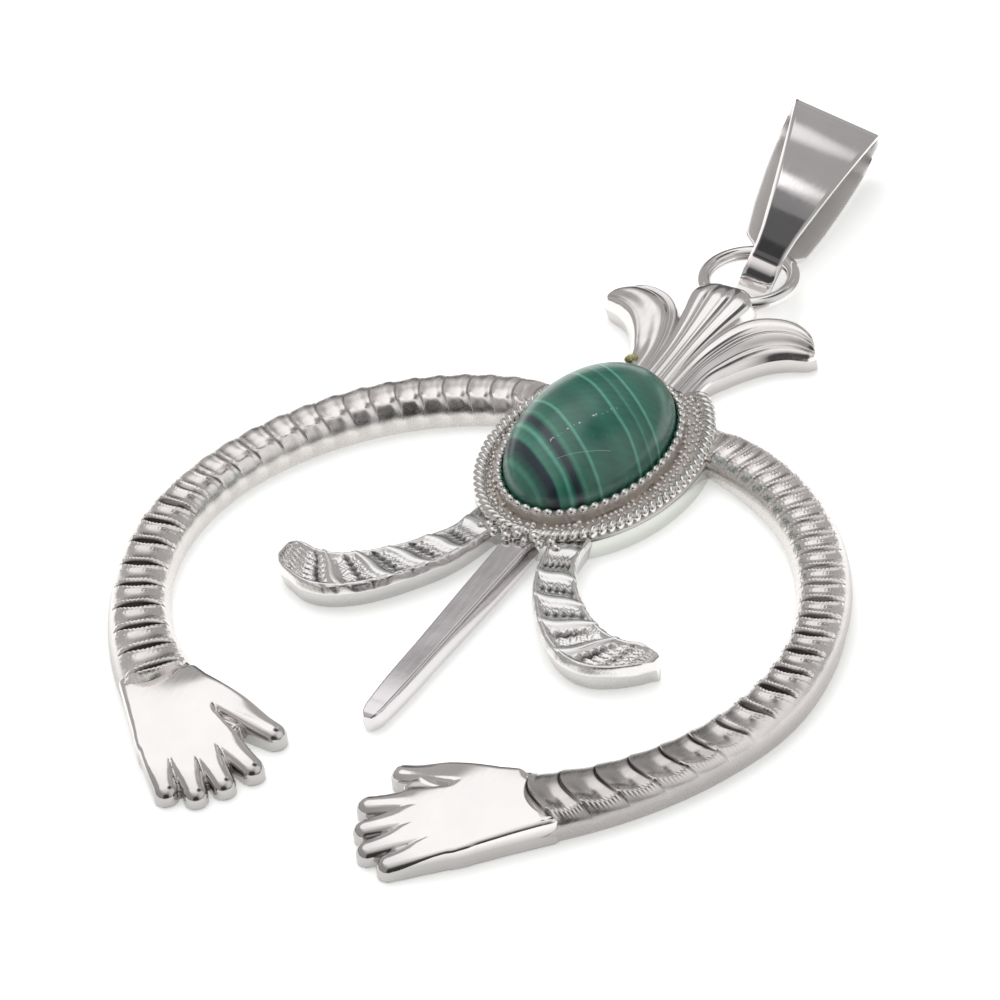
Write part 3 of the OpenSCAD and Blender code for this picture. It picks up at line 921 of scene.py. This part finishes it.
petalShape = {
    "rows": 150,
    "across": 64,
    "endsFrom": 0.78,  # share of the length where the end rounds down
    "grooveShade": 0.3,
    # columns: right edge x and y, left edge x and y, side wall, crown
    "middle": [
        [1.6, 29.3, -1.6, 29.3, 1.6, 2.5], [1.65, 34.0, -1.65, 34.0, 1.6, 2.75],
        [2.2, 37.5, -2.2, 37.5, 1.6, 3.05], [2.9, 40.3, -2.9, 40.3, 1.6, 3.35],
        [3.05, 41.4, -3.05, 41.4, 1.6, 3.45], [2.8, 42.2, -2.8, 42.2, 1.6, 3.42],
        [2.25, 42.8, -2.25, 42.8, 1.6, 3.3], [1.35, 43.2, -1.3, 43.2, 1.6, 3.1],
        [0.5, 43.3, -0.5, 43.3, 1.6, 2.9]],
    "side": [
        [3.6, 29.5, 1.0, 29.5, 1.4, 2.5], [3.8, 32.3, 1.2, 33.4, 1.4, 2.65],
        [4.6, 34.0, 1.5, 36.2, 1.4, 2.85], [5.6, 35.6, 2.3, 38.8, 1.4, 3.05],
        [6.7, 36.9, 3.6, 40.4, 1.4, 3.15], [7.8, 37.7, 5.3, 41.2, 1.4, 3.1],
        [8.7, 38.1, 6.9, 41.35, 1.3, 2.95], [9.35, 38.4, 8.2, 40.9, 1.2, 2.7],
        [9.7, 38.8, 9.05, 40.3, 1.15, 2.4], [9.82, 39.15, 9.6, 39.65, 1.1, 2.1]],
    # cross-profiles: place across the petal, share of the rise
    "fluted": [
        [0, 0.1], [0.05, 0.72], [0.12, 0.93], [0.2, 0.955], [0.32, 0.955], [0.355, 0.89], [0.39, 0.96],
        [0.5, 0.975], [0.63, 0.975], [0.665, 0.91], [0.7, 0.96], [0.84, 0.945], [0.95, 0.66], [1, 0.1]],
    "plain": [
        [0, 0], [0.05, 0.45], [0.12, 0.76], [0.2, 0.84], [0.4, 0.92], [0.58, 1], [0.68, 0.96], [0.77, 0.8],
        [0.83, 0.84], [0.9, 0.83], [0.96, 0.5], [1, 0.1]],
    "lined": [
        [0, 0], [0.06, 0.3], [0.16, 0.5], [0.27, 0.56], [0.36, 0.76], [0.42, 0.86], [0.48, 0.83],
        [0.54, 0.82], [0.62, 0.94], [0.73, 1], [0.85, 0.96], [0.94, 0.7], [1, 0.1]],
    # how flat the petal's end is, where its flutes start to run out, and over how much of the length
    "ends": {"fluted": (7, 0.3, 0.6), "plain": (3, 0.62, 0.25), "lined": (3, 0.85, 0.14)},
}


def makePetal(name, courseName, profileName, mirrored):
    shape = petalShape
    u, (xr, yr, xl, yl, wall, crown) = alongCourse(shape[courseName], shape["rows"])
    profile = np.array(shape[profileName])
    flatness, begin, length = shape["ends"][profileName]
    v = edgeSteps(shape["across"], 0.4)[None, :]
    share = smoothColumn(profile[:, 0], profile[:, 1], v)
    plain = np.maximum(0, 1 - np.abs(2 * v - 1) ** flatness) ** 0.6
    run = u / u[-1]
    share = share + (plain - share) * eased((run - begin) / length)
    over = np.clip((run - shape["endsFrom"]) / (1 - shape["endsFrom"]), 0, 1)
    z = wall + (crown - wall) * share * np.maximum(0, 1 - over ** 2.5) ** 0.6
    shade = np.clip((0.9 - share) * 2.5, 0, shape["grooveShade"]) * (np.abs(v - 0.5) < 0.36)
    skinStrip(name, xr + (xl - xr) * v, yr + (yl - yr) * v, z, metals["petal"], mirrored, shade)


makePetal("middlePetal", "middle", "fluted", False)
makePetal("rightPetal", "side", "lined", False)
makePetal("leftPetal", "side", "plain", True)
print("leaves, blade and petals cut")


# oval plate with its rope edge, bezel and grains

plateShape = {
    "halfWidth": 8.8,
    "halfHeight": 12.0,
    "floor": 2.0,
    "around": 200,
    "bezelTop": 3.1,
    "bezelWall": 0.55,
    "blossomRoot": 10.1,  # mm up the plate, where the blossom starts to cover the rope
    # the edge's section. Columns: inset from the plate's edge, height
    "edge": [(0, 0), (0, 0.75), (0.03, 1.5), (0.14, 1.72), (0.5, 1.9), (1.0, 2.0)],
    "wallRows": 3,  # rows of the edge that are plain wall
}
stoneShape = {
    "halfWidth": 6.0,
    "halfHeight": 9.0,
    "aside": -0.2,  # the stone is set a little off the middle
    "drop": -0.3,
    "back": 2.13,
    "girdle": 3.05,
    "rise": 4.815,
    "gap": 0.08,
    "around": 160,
}


def ovalLoop(halfWidth, halfHeight, z, around, x=0.0, y=0.0):
    turn = np.linspace(0, 2 * np.pi, around, endpoint=False)
    return np.stack([x + halfWidth * np.cos(turn), y + halfHeight * np.sin(turn), z + 0 * turn], -1)


def makePlate():
    shape, stone, n = plateShape, stoneShape, plateShape["around"]
    bw, bh = stone["halfWidth"] + stone["gap"], stone["halfHeight"] + stone["gap"]
    wall, top, floor = shape["bezelWall"], shape["bezelTop"], shape["floor"]
    loops = [ovalLoop(shape["halfWidth"] - i, shape["halfHeight"] - i, z, n) for i, z in shape["edge"]]
    # columns: outset from the bezel's inner face, height
    bezel = [(wall, floor), (wall, top - 0.2), (wall - 0.1, top), (0.12, top), (0, top - 0.15), (0, floor),
             (-0.6, floor)]
    loops += [ovalLoop(bw + o, bh + o, z, n, stone["aside"], stone["drop"]) for o, z in bezel]
    faces = loopFaces(len(loops), n)
    piece = addPiece("plate", np.concatenate(loops), faces, metals["channel"], sharpFrom=40)
    piece.data.materials.append(metals["plateWall"])
    for face in piece.data.polygons[:n * shape["wallRows"]]:
        face.material_index = 1


makePlate()


def growPiece(name, tree, values, material):
    # runs the tree once and keeps what it makes as a plain mesh
    holder = bpy.data.objects.new(name + "Maker", bpy.data.meshes.new(name + "Maker"))
    scene.collection.objects.link(holder)
    maker = holder.modifiers.new("maker", "NODES")
    maker.node_group = tree
    for item in tree.interface.items_tree:
        if item.item_type == "SOCKET" and item.in_out == "INPUT" and item.name in values:
            maker[item.identifier] = values[item.name]
    mesh = bpy.data.meshes.new_from_object(holder.evaluated_get(bpy.context.evaluated_depsgraph_get()))
    bpy.data.objects.remove(holder)
    mesh.name = name
    mesh.materials.clear()
    mesh.materials.append(material)
    mesh.shade_smooth()
    if "paintedShade" not in mesh.attributes:
        mesh.attributes.new("paintedShade", "FLOAT", "POINT")
    finishPiece(name, mesh, "cast_frame")


def combine(tree, x, y, z):
    return placeNode(tree, "ShaderNodeCombineXYZ", {"X": x, "Y": y, "Z": z}).outputs[0]


def setOnPoints(tree, made, points, bead, material, sizes, seed, stopAbove, **turning):
    # beads of random size on every point below the line where they stop, as one coated mesh
    where = placeNode(tree, "GeometryNodeInputPosition").outputs[0]
    height = placeNode(tree, "ShaderNodeSeparateXYZ", {0: where}).outputs["Y"]
    below = placeNode(tree, "FunctionNodeCompare", {0: height, 1: stopAbove},
                      data_type="FLOAT", operation="LESS_THAN")
    size = placeNode(tree, "FunctionNodeRandomValue", {2: sizes[0], 3: sizes[1], "Seed": seed},
                     data_type="FLOAT")
    strewn = placeNode(tree, "GeometryNodeInstanceOnPoints", {
        "Points": points, "Instance": bead, "Selection": below.outputs[0],
        "Scale": size.outputs[1], **turning}).outputs["Instances"]
    real = placeNode(tree, "GeometryNodeRealizeInstances", {"Geometry": strewn}).outputs["Geometry"]
    coat = placeNode(tree, "GeometryNodeSetMaterial", {"Geometry": real, "Material": material})
    feed(made, {"Geometry": coat.outputs["Geometry"]})


def beadRow(name, material, sizes):
    # beads or slanted strands set round an oval
    tree, given, made = newGroup(
        name + "Tree", "GeometryNodeTree",
        {"Half Width": 1.0, "Half Height": 1.0, "Height": 1.0, "Across": 0.0, "Up": 0.0, "Count": 60,
         "Length": 1.0, "Thickness": 1.0, "Depth": 1.0, "Slant": 0.0, "Unlike": 0.1, "Stop Above": 1.0},
        {"Geometry": "Geometry"})
    circle = placeNode(tree, "GeometryNodeCurvePrimitiveCircle", {"Resolution": 256, "Radius": 1.0})
    oval = placeNode(tree, "GeometryNodeTransform", {
        "Geometry": circle.outputs["Curve"],
        "Scale": combine(tree, given["Half Width"], given["Half Height"], 1.0),
        "Translation": combine(tree, given["Across"], given["Up"], given["Height"])})
    spaced = placeNode(tree, "GeometryNodeResampleCurve", {
        "Curve": oval.outputs["Geometry"], "Count": given["Count"]})
    tangent = placeNode(tree, "GeometryNodeInputTangent").outputs[0]
    facing = placeNode(tree, "FunctionNodeAlignRotationToVector", {"Vector": tangent}, axis="X").outputs[0]
    slanted = placeNode(
        tree, "FunctionNodeRotateRotation",
        {"Rotation": facing, "Rotate By": combine(tree, 0.0, 0.0, given["Slant"])}, rotation_space="LOCAL")
    bead = placeNode(tree, "GeometryNodeMeshUVSphere", {"Segments": 12, "Rings": 8, "Radius": 0.5})
    formed = placeNode(tree, "GeometryNodeTransform", {
        "Geometry": bead.outputs["Mesh"],
        "Scale": combine(tree, given["Length"], given["Thickness"], given["Depth"])})
    least = doMath(tree, "SUBTRACT", 1.0, given["Unlike"])
    setOnPoints(tree, made, spaced.outputs["Curve"], formed.outputs["Geometry"], material, (least, 1.0), 7,
                given["Stop Above"], Rotation=slanted.outputs[0])
    growPiece(name, tree, sizes, material)


# sizes in mm, turns in radians. The inset is from the plate's edge, the outset from the stone's
ropeShape = {"Length": 1.5, "Thickness": 0.74, "Depth": 1.05, "Height": 2.17, "inset": 0.546,
             "Count": 82, "Slant": math.radians(48), "Unlike": 0.14}
teethShape = {"Length": 0.94, "Thickness": 0.8, "Depth": 0.84, "Height": 2.98, "outset": 0.38,
              "Count": 54, "Slant": 0.3, "Unlike": 0.2}


def makeBeadRow(name, shape, halfWidth, halfHeight, across, up, stopAbove):
    lengths = {key: shape[key] for key in ("Length", "Thickness", "Depth", "Height")}
    lengths.update({"Half Width": halfWidth, "Half Height": halfHeight, "Across": across, "Up": up,
                    "Stop Above": stopAbove})
    sizes = {key: length * mm for key, length in lengths.items()}
    beadRow(name, metals["rope"], {**sizes, **{key: shape[key] for key in ("Count", "Slant", "Unlike")}})


makeBeadRow("ropeEdge", ropeShape, plateShape["halfWidth"] - ropeShape["inset"],
            plateShape["halfHeight"] - ropeShape["inset"], 0.0, 0.0, plateShape["blossomRoot"])
makeBeadRow("bezelTeeth", teethShape, stoneShape["halfWidth"] + teethShape["outset"],
            stoneShape["halfHeight"] + teethShape["outset"], stoneShape["aside"], stoneShape["drop"], far)

granuleShape = {
    "radius": 0.24,
    "spacing": 0.4,
    "density": 3.0e7,  # to the square metre, before the spacing thins them
    "unlike": (0.6, 1.15),
    "seed": 3,
    "outset": 0.7,  # from the stone's edge
    "inset": 0.95,  # from the plate's edge
    "lift": 0.02,
}


def strewGranules(name, material):
    # small grains strewn over the channel between bezel and rope
    shape, stone, plate, n = granuleShape, stoneShape, plateShape, 96
    height, outset, inset = plate["floor"] + shape["lift"], shape["outset"], shape["inset"]
    inner = ovalLoop(stone["halfWidth"] + outset, stone["halfHeight"] + outset, height, n,
                     stone["aside"], stone["drop"])
    outer = ovalLoop(plate["halfWidth"] - inset, plate["halfHeight"] - inset, height, n)
    ground = bpy.data.meshes.new(name + "Ground")
    ground.from_pydata((np.concatenate([inner, outer]) * mm).tolist(), [],
                       [(i, (i + 1) % n, n + (i + 1) % n, n + i) for i in range(n)])
    groundHolder = bpy.data.objects.new(name + "Ground", ground)
    scene.collection.objects.link(groundHolder)
    sizes = {"Grain Radius": shape["radius"] * mm, "Grain Spacing": shape["spacing"] * mm}
    tree, given, made = newGroup(name + "Tree", "GeometryNodeTree", sizes, {"Geometry": "Geometry"})
    info = placeNode(tree, "GeometryNodeObjectInfo", {"Object": groundHolder})
    strewn = placeNode(
        tree, "GeometryNodeDistributePointsOnFaces",
        {"Mesh": info.outputs["Geometry"], "Distance Min": given["Grain Spacing"],
         "Density Max": shape["density"], "Seed": shape["seed"]}, distribute_method="POISSON")
    grain = placeNode(tree, "GeometryNodeMeshUVSphere", {
        "Segments": 10, "Rings": 6, "Radius": given["Grain Radius"]})
    setOnPoints(tree, made, strewn.outputs["Points"], grain.outputs["Mesh"], material, shape["unlike"],
                shape["seed"], (plateShape["blossomRoot"] - 0.7) * mm)
    growPiece(name, tree, sizes, material)
    bpy.data.objects.remove(groundHolder)


strewGranules("channelGranules", metals["rope"])

# beads soldered where leaves and blade meet the plate, and a crumb of dried polish beside the blossom.
# Columns: x, y, z, radius
lumpSpots = {
    "rootBeads": [
        (-2.9, -11.7, 2.1, 0.42), (-2.2, -12.3, 2.15, 0.4), (-1.5, -11.8, 2.3, 0.38),
        (-0.9, -12.5, 2.2, 0.42), (-0.1, -12.1, 2.35, 0.4), (0.7, -12.5, 2.2, 0.38),
        (1.3, -11.9, 2.35, 0.42), (2.0, -12.4, 2.2, 0.4), (2.7, -11.8, 2.2, 0.42),
        (3.3, -12.1, 2.05, 0.36), (-3.5, -11.9, 2.0, 0.36), (0.4, -11.6, 2.45, 0.34)],
    "driedPolishCrumb": [
        (-3.3, 11.6, 2.35, 0.34), (-3.0, 11.9, 2.5, 0.3), (-3.6, 11.8, 2.2, 0.28),
        (-3.15, 11.4, 2.6, 0.22), (-3.5, 12.0, 2.3, 0.22)],
}


def makeLumps(name, material):
    rows, around = 7, 12
    points, faces = [], []
    for n, (x, y, z, r) in enumerate(lumpSpots[name]):
        start = len(points)
        long = 1 + 0.25 * math.sin(2.3 * n)  # each lump is longer or shorter than the last
        points.append((x, y, z - r))
        for i in range(1, rows):
            lean = math.pi * i / rows
            for j in range(around):
                turn = 2 * math.pi * j / around + n
                points.append((x + r * long * math.sin(lean) * math.cos(turn),
                               y + r * math.sin(lean) * math.sin(turn), z - r * math.cos(lean)))
        points.append((x, y, z + r))
        for j in range(around):
            k = (j + 1) % around
            faces.append((start, start + 1 + k, start + 1 + j))
            for i in range(rows - 2):
                a = start + 1 + i * around
                faces.append((a + j, a + k, a + around + k, a + around + j))
            a = start + 1 + (rows - 2) * around
            faces.append((a + j, a + k, len(points) - 1))
    addPiece(name, points, faces, material, sharpFrom=180)


makeLumps("rootBeads", metals["rope"])
makeLumps("driedPolishCrumb", residue)
print("plate dressed")


# ring, stone and folded bail

ringShape = {"radius": 3.74, "wire": 0.62, "height": 2.6, "up": 25.35, "aside": 0.5,
             "around": 128, "wireSteps": 32}


def makeRing():
    shape = ringShape
    t = np.linspace(0, 2 * np.pi, shape["wireSteps"], endpoint=False)
    r = shape["radius"] + shape["wire"] * np.cos(t)
    z = shape["height"] + shape["wire"] * np.sin(t)
    loops = [np.stack([shape["aside"] + r * np.cos(turn), shape["up"] + r * np.sin(turn), z], -1)
             for turn in np.linspace(0, 2 * np.pi, shape["around"], endpoint=False)]
    faces = [face[::-1] for face in loopFaces(len(loops), shape["wireSteps"], closed=True)]
    addPiece("ring", np.concatenate(loops), faces, metals["ring"], sharpFrom=80)


def makeStone():
    shape = stoneShape
    back, girdle = shape["back"], shape["girdle"]
    # columns: height, share of the oval
    rows = [(back, 0.55), (back, 0.955), (back + 0.12, 0.985), (back + 0.3, 1)]
    rows += [(z, 1) for z in np.linspace(back + 0.4, girdle, 4)]
    rows += [(girdle + shape["rise"] * np.sin(a), np.cos(a)) for a in np.radians(np.linspace(2.5, 88, 46))]
    loops = [ovalLoop(shape["halfWidth"] * share, shape["halfHeight"] * share, z, shape["around"],
                      shape["aside"], shape["drop"]) for z, share in rows]
    faces = loopFaces(len(loops), shape["around"])
    addPiece("cabochon", np.concatenate(loops), faces, malachite, 70, "stone")


makeRing()
makeStone()

bailShape = {
    "reach": 18.0,  # mm along the bail from the ring's wire
    "hook": 4.5,
    "thickness": 0.55,
    "foldRadius": 2.5,
    "bendRadius": 2.0,
    "bevel": 0.16,
    "belly": 0.6,  # swelling of the front leaf
    "shift": 0.1,
    "turn": 9.0,  # degrees, as the bail lies in the photo
    "pitch": 4.7,
    "roll": 21.0,
    # columns: place along the strip, half width
    "front": [[-5.5, 1.38], [-1.5, 1.38], [0.4, 1.55], [18, 4.12]],
    "back": [
        [-5.5, 1.38], [1.4, 1.38], [2.2, 1.9], [2.9, 2.75], [6.5, 3.3], [11, 3.75], [16.5, 4.12],
        [18, 4.12]],
}


def bailLoop(inset):
    # the strip's closed path, seen from its edge: fold, back leaf, bend and front leaf
    shape = bailShape
    high, low = shape["reach"] - shape["foldRadius"], shape["bendRadius"] - shape["hook"]
    lean = math.asin((shape["foldRadius"] - shape["bendRadius"]) / (high - low))
    ends = []
    for middle, radius, arc in (
            (high, shape["foldRadius"] - inset, np.linspace(-lean, np.pi + lean, 36)),
            (low, shape["bendRadius"] - inset, np.linspace(np.pi + lean, 2 * np.pi - lean, 30))):
        ends.append(np.stack([middle + radius * np.sin(arc), radius * np.cos(arc)], -1))
    a, b = ends
    steps = np.linspace(0, 1, 42)[1:-1, None]
    return np.concatenate([a, a[-1] + (b[0] - a[-1]) * steps, b, b[-1] + (a[0] - b[-1]) * steps])


def makeBail():
    shape, bevel, thin = bailShape, bailShape["bevel"], bailShape["thickness"]
    outer, inner = bailLoop(0), bailLoop(thin)
    inFront = 1 / (1 + np.exp(-outer[:, 1] * 6))
    frontHalf, backHalf = (np.interp(outer[:, 0], *np.array(shape[leaf]).T) for leaf in ("front", "back"))
    half = inFront * frontHalf + (1 - inFront) * backHalf
    # section: share of the thickness from outside to inside, and inset from the strip's edge
    section = [(0, bevel + 0.25), (0.0, bevel), (0.08, bevel * 0.35), (bevel / thin, 0), (0.5, 0),
               (1 - bevel / thin, 0), (0.92, bevel * 0.35), (1, bevel), (1, bevel + 0.25)]
    ring = [(1, *row) for row in section] + [(-1, *row) for row in section[::-1]]
    points = np.array([[(side * (w - inset), *(o + (i - o) * share)) for side, share, inset in ring]
                       for o, i, w in zip(outer, inner, half)]).reshape(-1, 3)
    # the front leaf swells a little between the fold and the hook
    high, low = shape["reach"] - shape["foldRadius"], shape["bendRadius"] - shape["hook"]
    span = np.clip((points[:, 1] - low) / (high - low), 0, 1)
    points[:, 2] += shape["shift"] + shape["belly"] * 4 * span * (1 - span) * (points[:, 2] > 0)
    pin = Vector((ringShape["aside"], ringShape["up"] + ringShape["radius"], ringShape["height"]))
    place = Matrix.Translation(pin)
    for angle, axis in ((shape["turn"], "Z"), (shape["pitch"], "X"), (shape["roll"], "Y")):
        place = place @ Matrix.Rotation(math.radians(angle), 4, axis)
    piece = addPiece("foldedBail", [tuple(place @ Vector(p)) for p in points],
                     loopFaces(len(half), len(ring), closed=True), metals["bail"], 30, "bail")
    piece.data.materials.append(metals["bailInside"])
    inside = (len(section) - 2, len(section) - 1, len(section))  # faces of each loop that look inwards
    for n, polygon in enumerate(piece.data.polygons):
        polygon.material_index = int(n % len(ring) in inside)


makeBail()
print("ring, stone and bail made")


# pale floor, studio and camera

studioLook = {
    "floorReach": 1.5,  # metres
    "floorDrop": 0.00006,
    "floorTones": [(0.35, (0.90, 0.915, 0.90)), (0.65, (0.925, 0.93, 0.92))],
    "floorGlow": 0.4,  # lit from below, as a light table
    "wallTint": (1.0, 0.985, 0.975),
    "key": {"spot": (-0.35, 0.35, 0.7), "size": 1.2, "power": 5.0},
    # columns: height in the room, from the floor up to overhead, and its grey
    "walls": [
        (0.0, 0.25), (0.06, 0.32), (0.14, 0.44), (0.3, 0.46), (0.5, 0.41), (0.73, 0.41), (0.82, 0.62),
        (0.92, 0.85), (1.0, 1.0)],
    # lit and dark screens. Columns: direction, cosine where it starts, cosine where it is full, grey
    "screens": [
        ((-0.32, 0.53, 0.785), 0.9763, 0.9863, 0.9), ((-0.40, 0.24, 0.88), 0.89, 0.925, 1.15),
        ((0.85, 0.2, 0.45), 0.8, 0.95, 0.85), ((0.53, -0.8, 0.26), 0.85, 0.94, 0.06),
        ((-0.5, 0.83, 0.22), 0.955, 0.985, 0.12), ((0.189, 0.406, 0.894), 0.9646, 0.9670, 0.26),
        ((0.189, 0.406, 0.894), 0.9796, 0.9812, 0.12), ((0.189, 0.406, 0.894), 0.9954, 0.9961, 0.05),
        ((0.013, 0.775, 0.630), 0.9985, 0.9996, 1.0), ((0.088, 0.650, 0.755), 0.9990, 0.9996, 1.5)],
}


def makeFloor():
    size, z = studioLook["floorReach"], -studioLook["floorDrop"]
    mesh = bpy.data.meshes.new("paleFloor")
    corners = [(-size, -size, z), (size, -size, z), (size, size, z), (-size, size, z)]
    mesh.from_pydata(corners, [], [(0, 1, 2, 3)])
    material, tree, shader = newMaterial("paleSheet")
    tones = rampAt(tree, noiseAt(tree, objectPlace(tree), 60.0, 3.0), studioLook["floorTones"])
    feed(shader, {
        "Base Color": tones, "Emission Color": tones, "Emission Strength": studioLook["floorGlow"],
        "Roughness": 0.6, "Specular IOR Level": 0.2})
    mesh.materials.append(material)
    floor = bpy.data.objects.new("paleFloor", mesh)
    scene.collection.objects.link(floor)


def makeKeyLight():
    key = studioLook["key"]
    data = bpy.data.lights.new("keySoftbox", "AREA")
    data.shape = "RECTANGLE"
    data.size = data.size_y = key["size"]
    data.energy = key["power"]
    lamp = bpy.data.objects.new("keySoftbox", data)
    lamp.location = key["spot"]
    lamp.rotation_euler = (-Vector(key["spot"])).to_track_quat("-Z", "Y").to_euler()
    lamp.visible_glossy = False  # the metal mirrors the room's screens, not the lamp
    scene.collection.objects.link(lamp)


def makeWorld():
    # a pale grey studio with lit and dark screens, which the polished metal mirrors
    world = bpy.data.worlds.new("paleStudio")
    scene.world = world
    world.use_nodes = True
    tree = world.node_tree
    way = placeNode(tree, "ShaderNodeTexCoord").outputs["Generated"]
    height = placeNode(tree, "ShaderNodeSeparateXYZ", {0: way}).outputs["Z"]
    walls = [(at, [value * tint for tint in studioLook["wallTint"]]) for at, value in studioLook["walls"]]
    colour = rampAt(tree, height, walls)
    for aim, start, full, value in studioLook["screens"]:
        near = doVectorMath(tree, "DOT_PRODUCT", way, Vector(aim).normalized())
        cover = mapValue(tree, near, start, full, curve="SMOOTHSTEP")
        colour = mixColour(tree, cover, colour, (value, value, value, 1))
    feed(tree.nodes["Background"], {"Color": colour})


makeFloor()
makeKeyLight()
makeWorld()
scene.view_settings.view_transform = "Standard"

cameraPlace = {
    "turn": 0.589304114, "rise": 0.648263408, "roll": -0.104690390,
    "aim": (-0.00525286, -0.00628934, 0.0), "distance": 0.3465159, "lens": 158.4,
}


def makeCamera():
    place = cameraPlace
    turn, rise, roll = place["turn"], place["rise"], place["roll"]
    back = Vector((math.sin(turn) * math.cos(rise), -math.cos(turn) * math.cos(rise), math.sin(rise)))
    right = Vector((math.cos(turn), math.sin(turn), 0))
    up = back.cross(right)
    across = math.cos(roll) * right + math.sin(roll) * up
    upward = -math.sin(roll) * right + math.cos(roll) * up
    data = bpy.data.cameras.new("photoCamera")
    data.sensor_width = 36
    data.lens = place["lens"]
    data.clip_start = 0.01
    data.clip_end = 10
    camera = bpy.data.objects.new("photoCamera", data)
    spot = Vector(place["aim"]) + place["distance"] * back
    camera.matrix_world = Matrix.Translation(spot) @ Matrix((across, upward, back)).transposed().to_4x4()
    scene.collection.objects.link(camera)
    scene.camera = camera


makeCamera()
print("studio set")
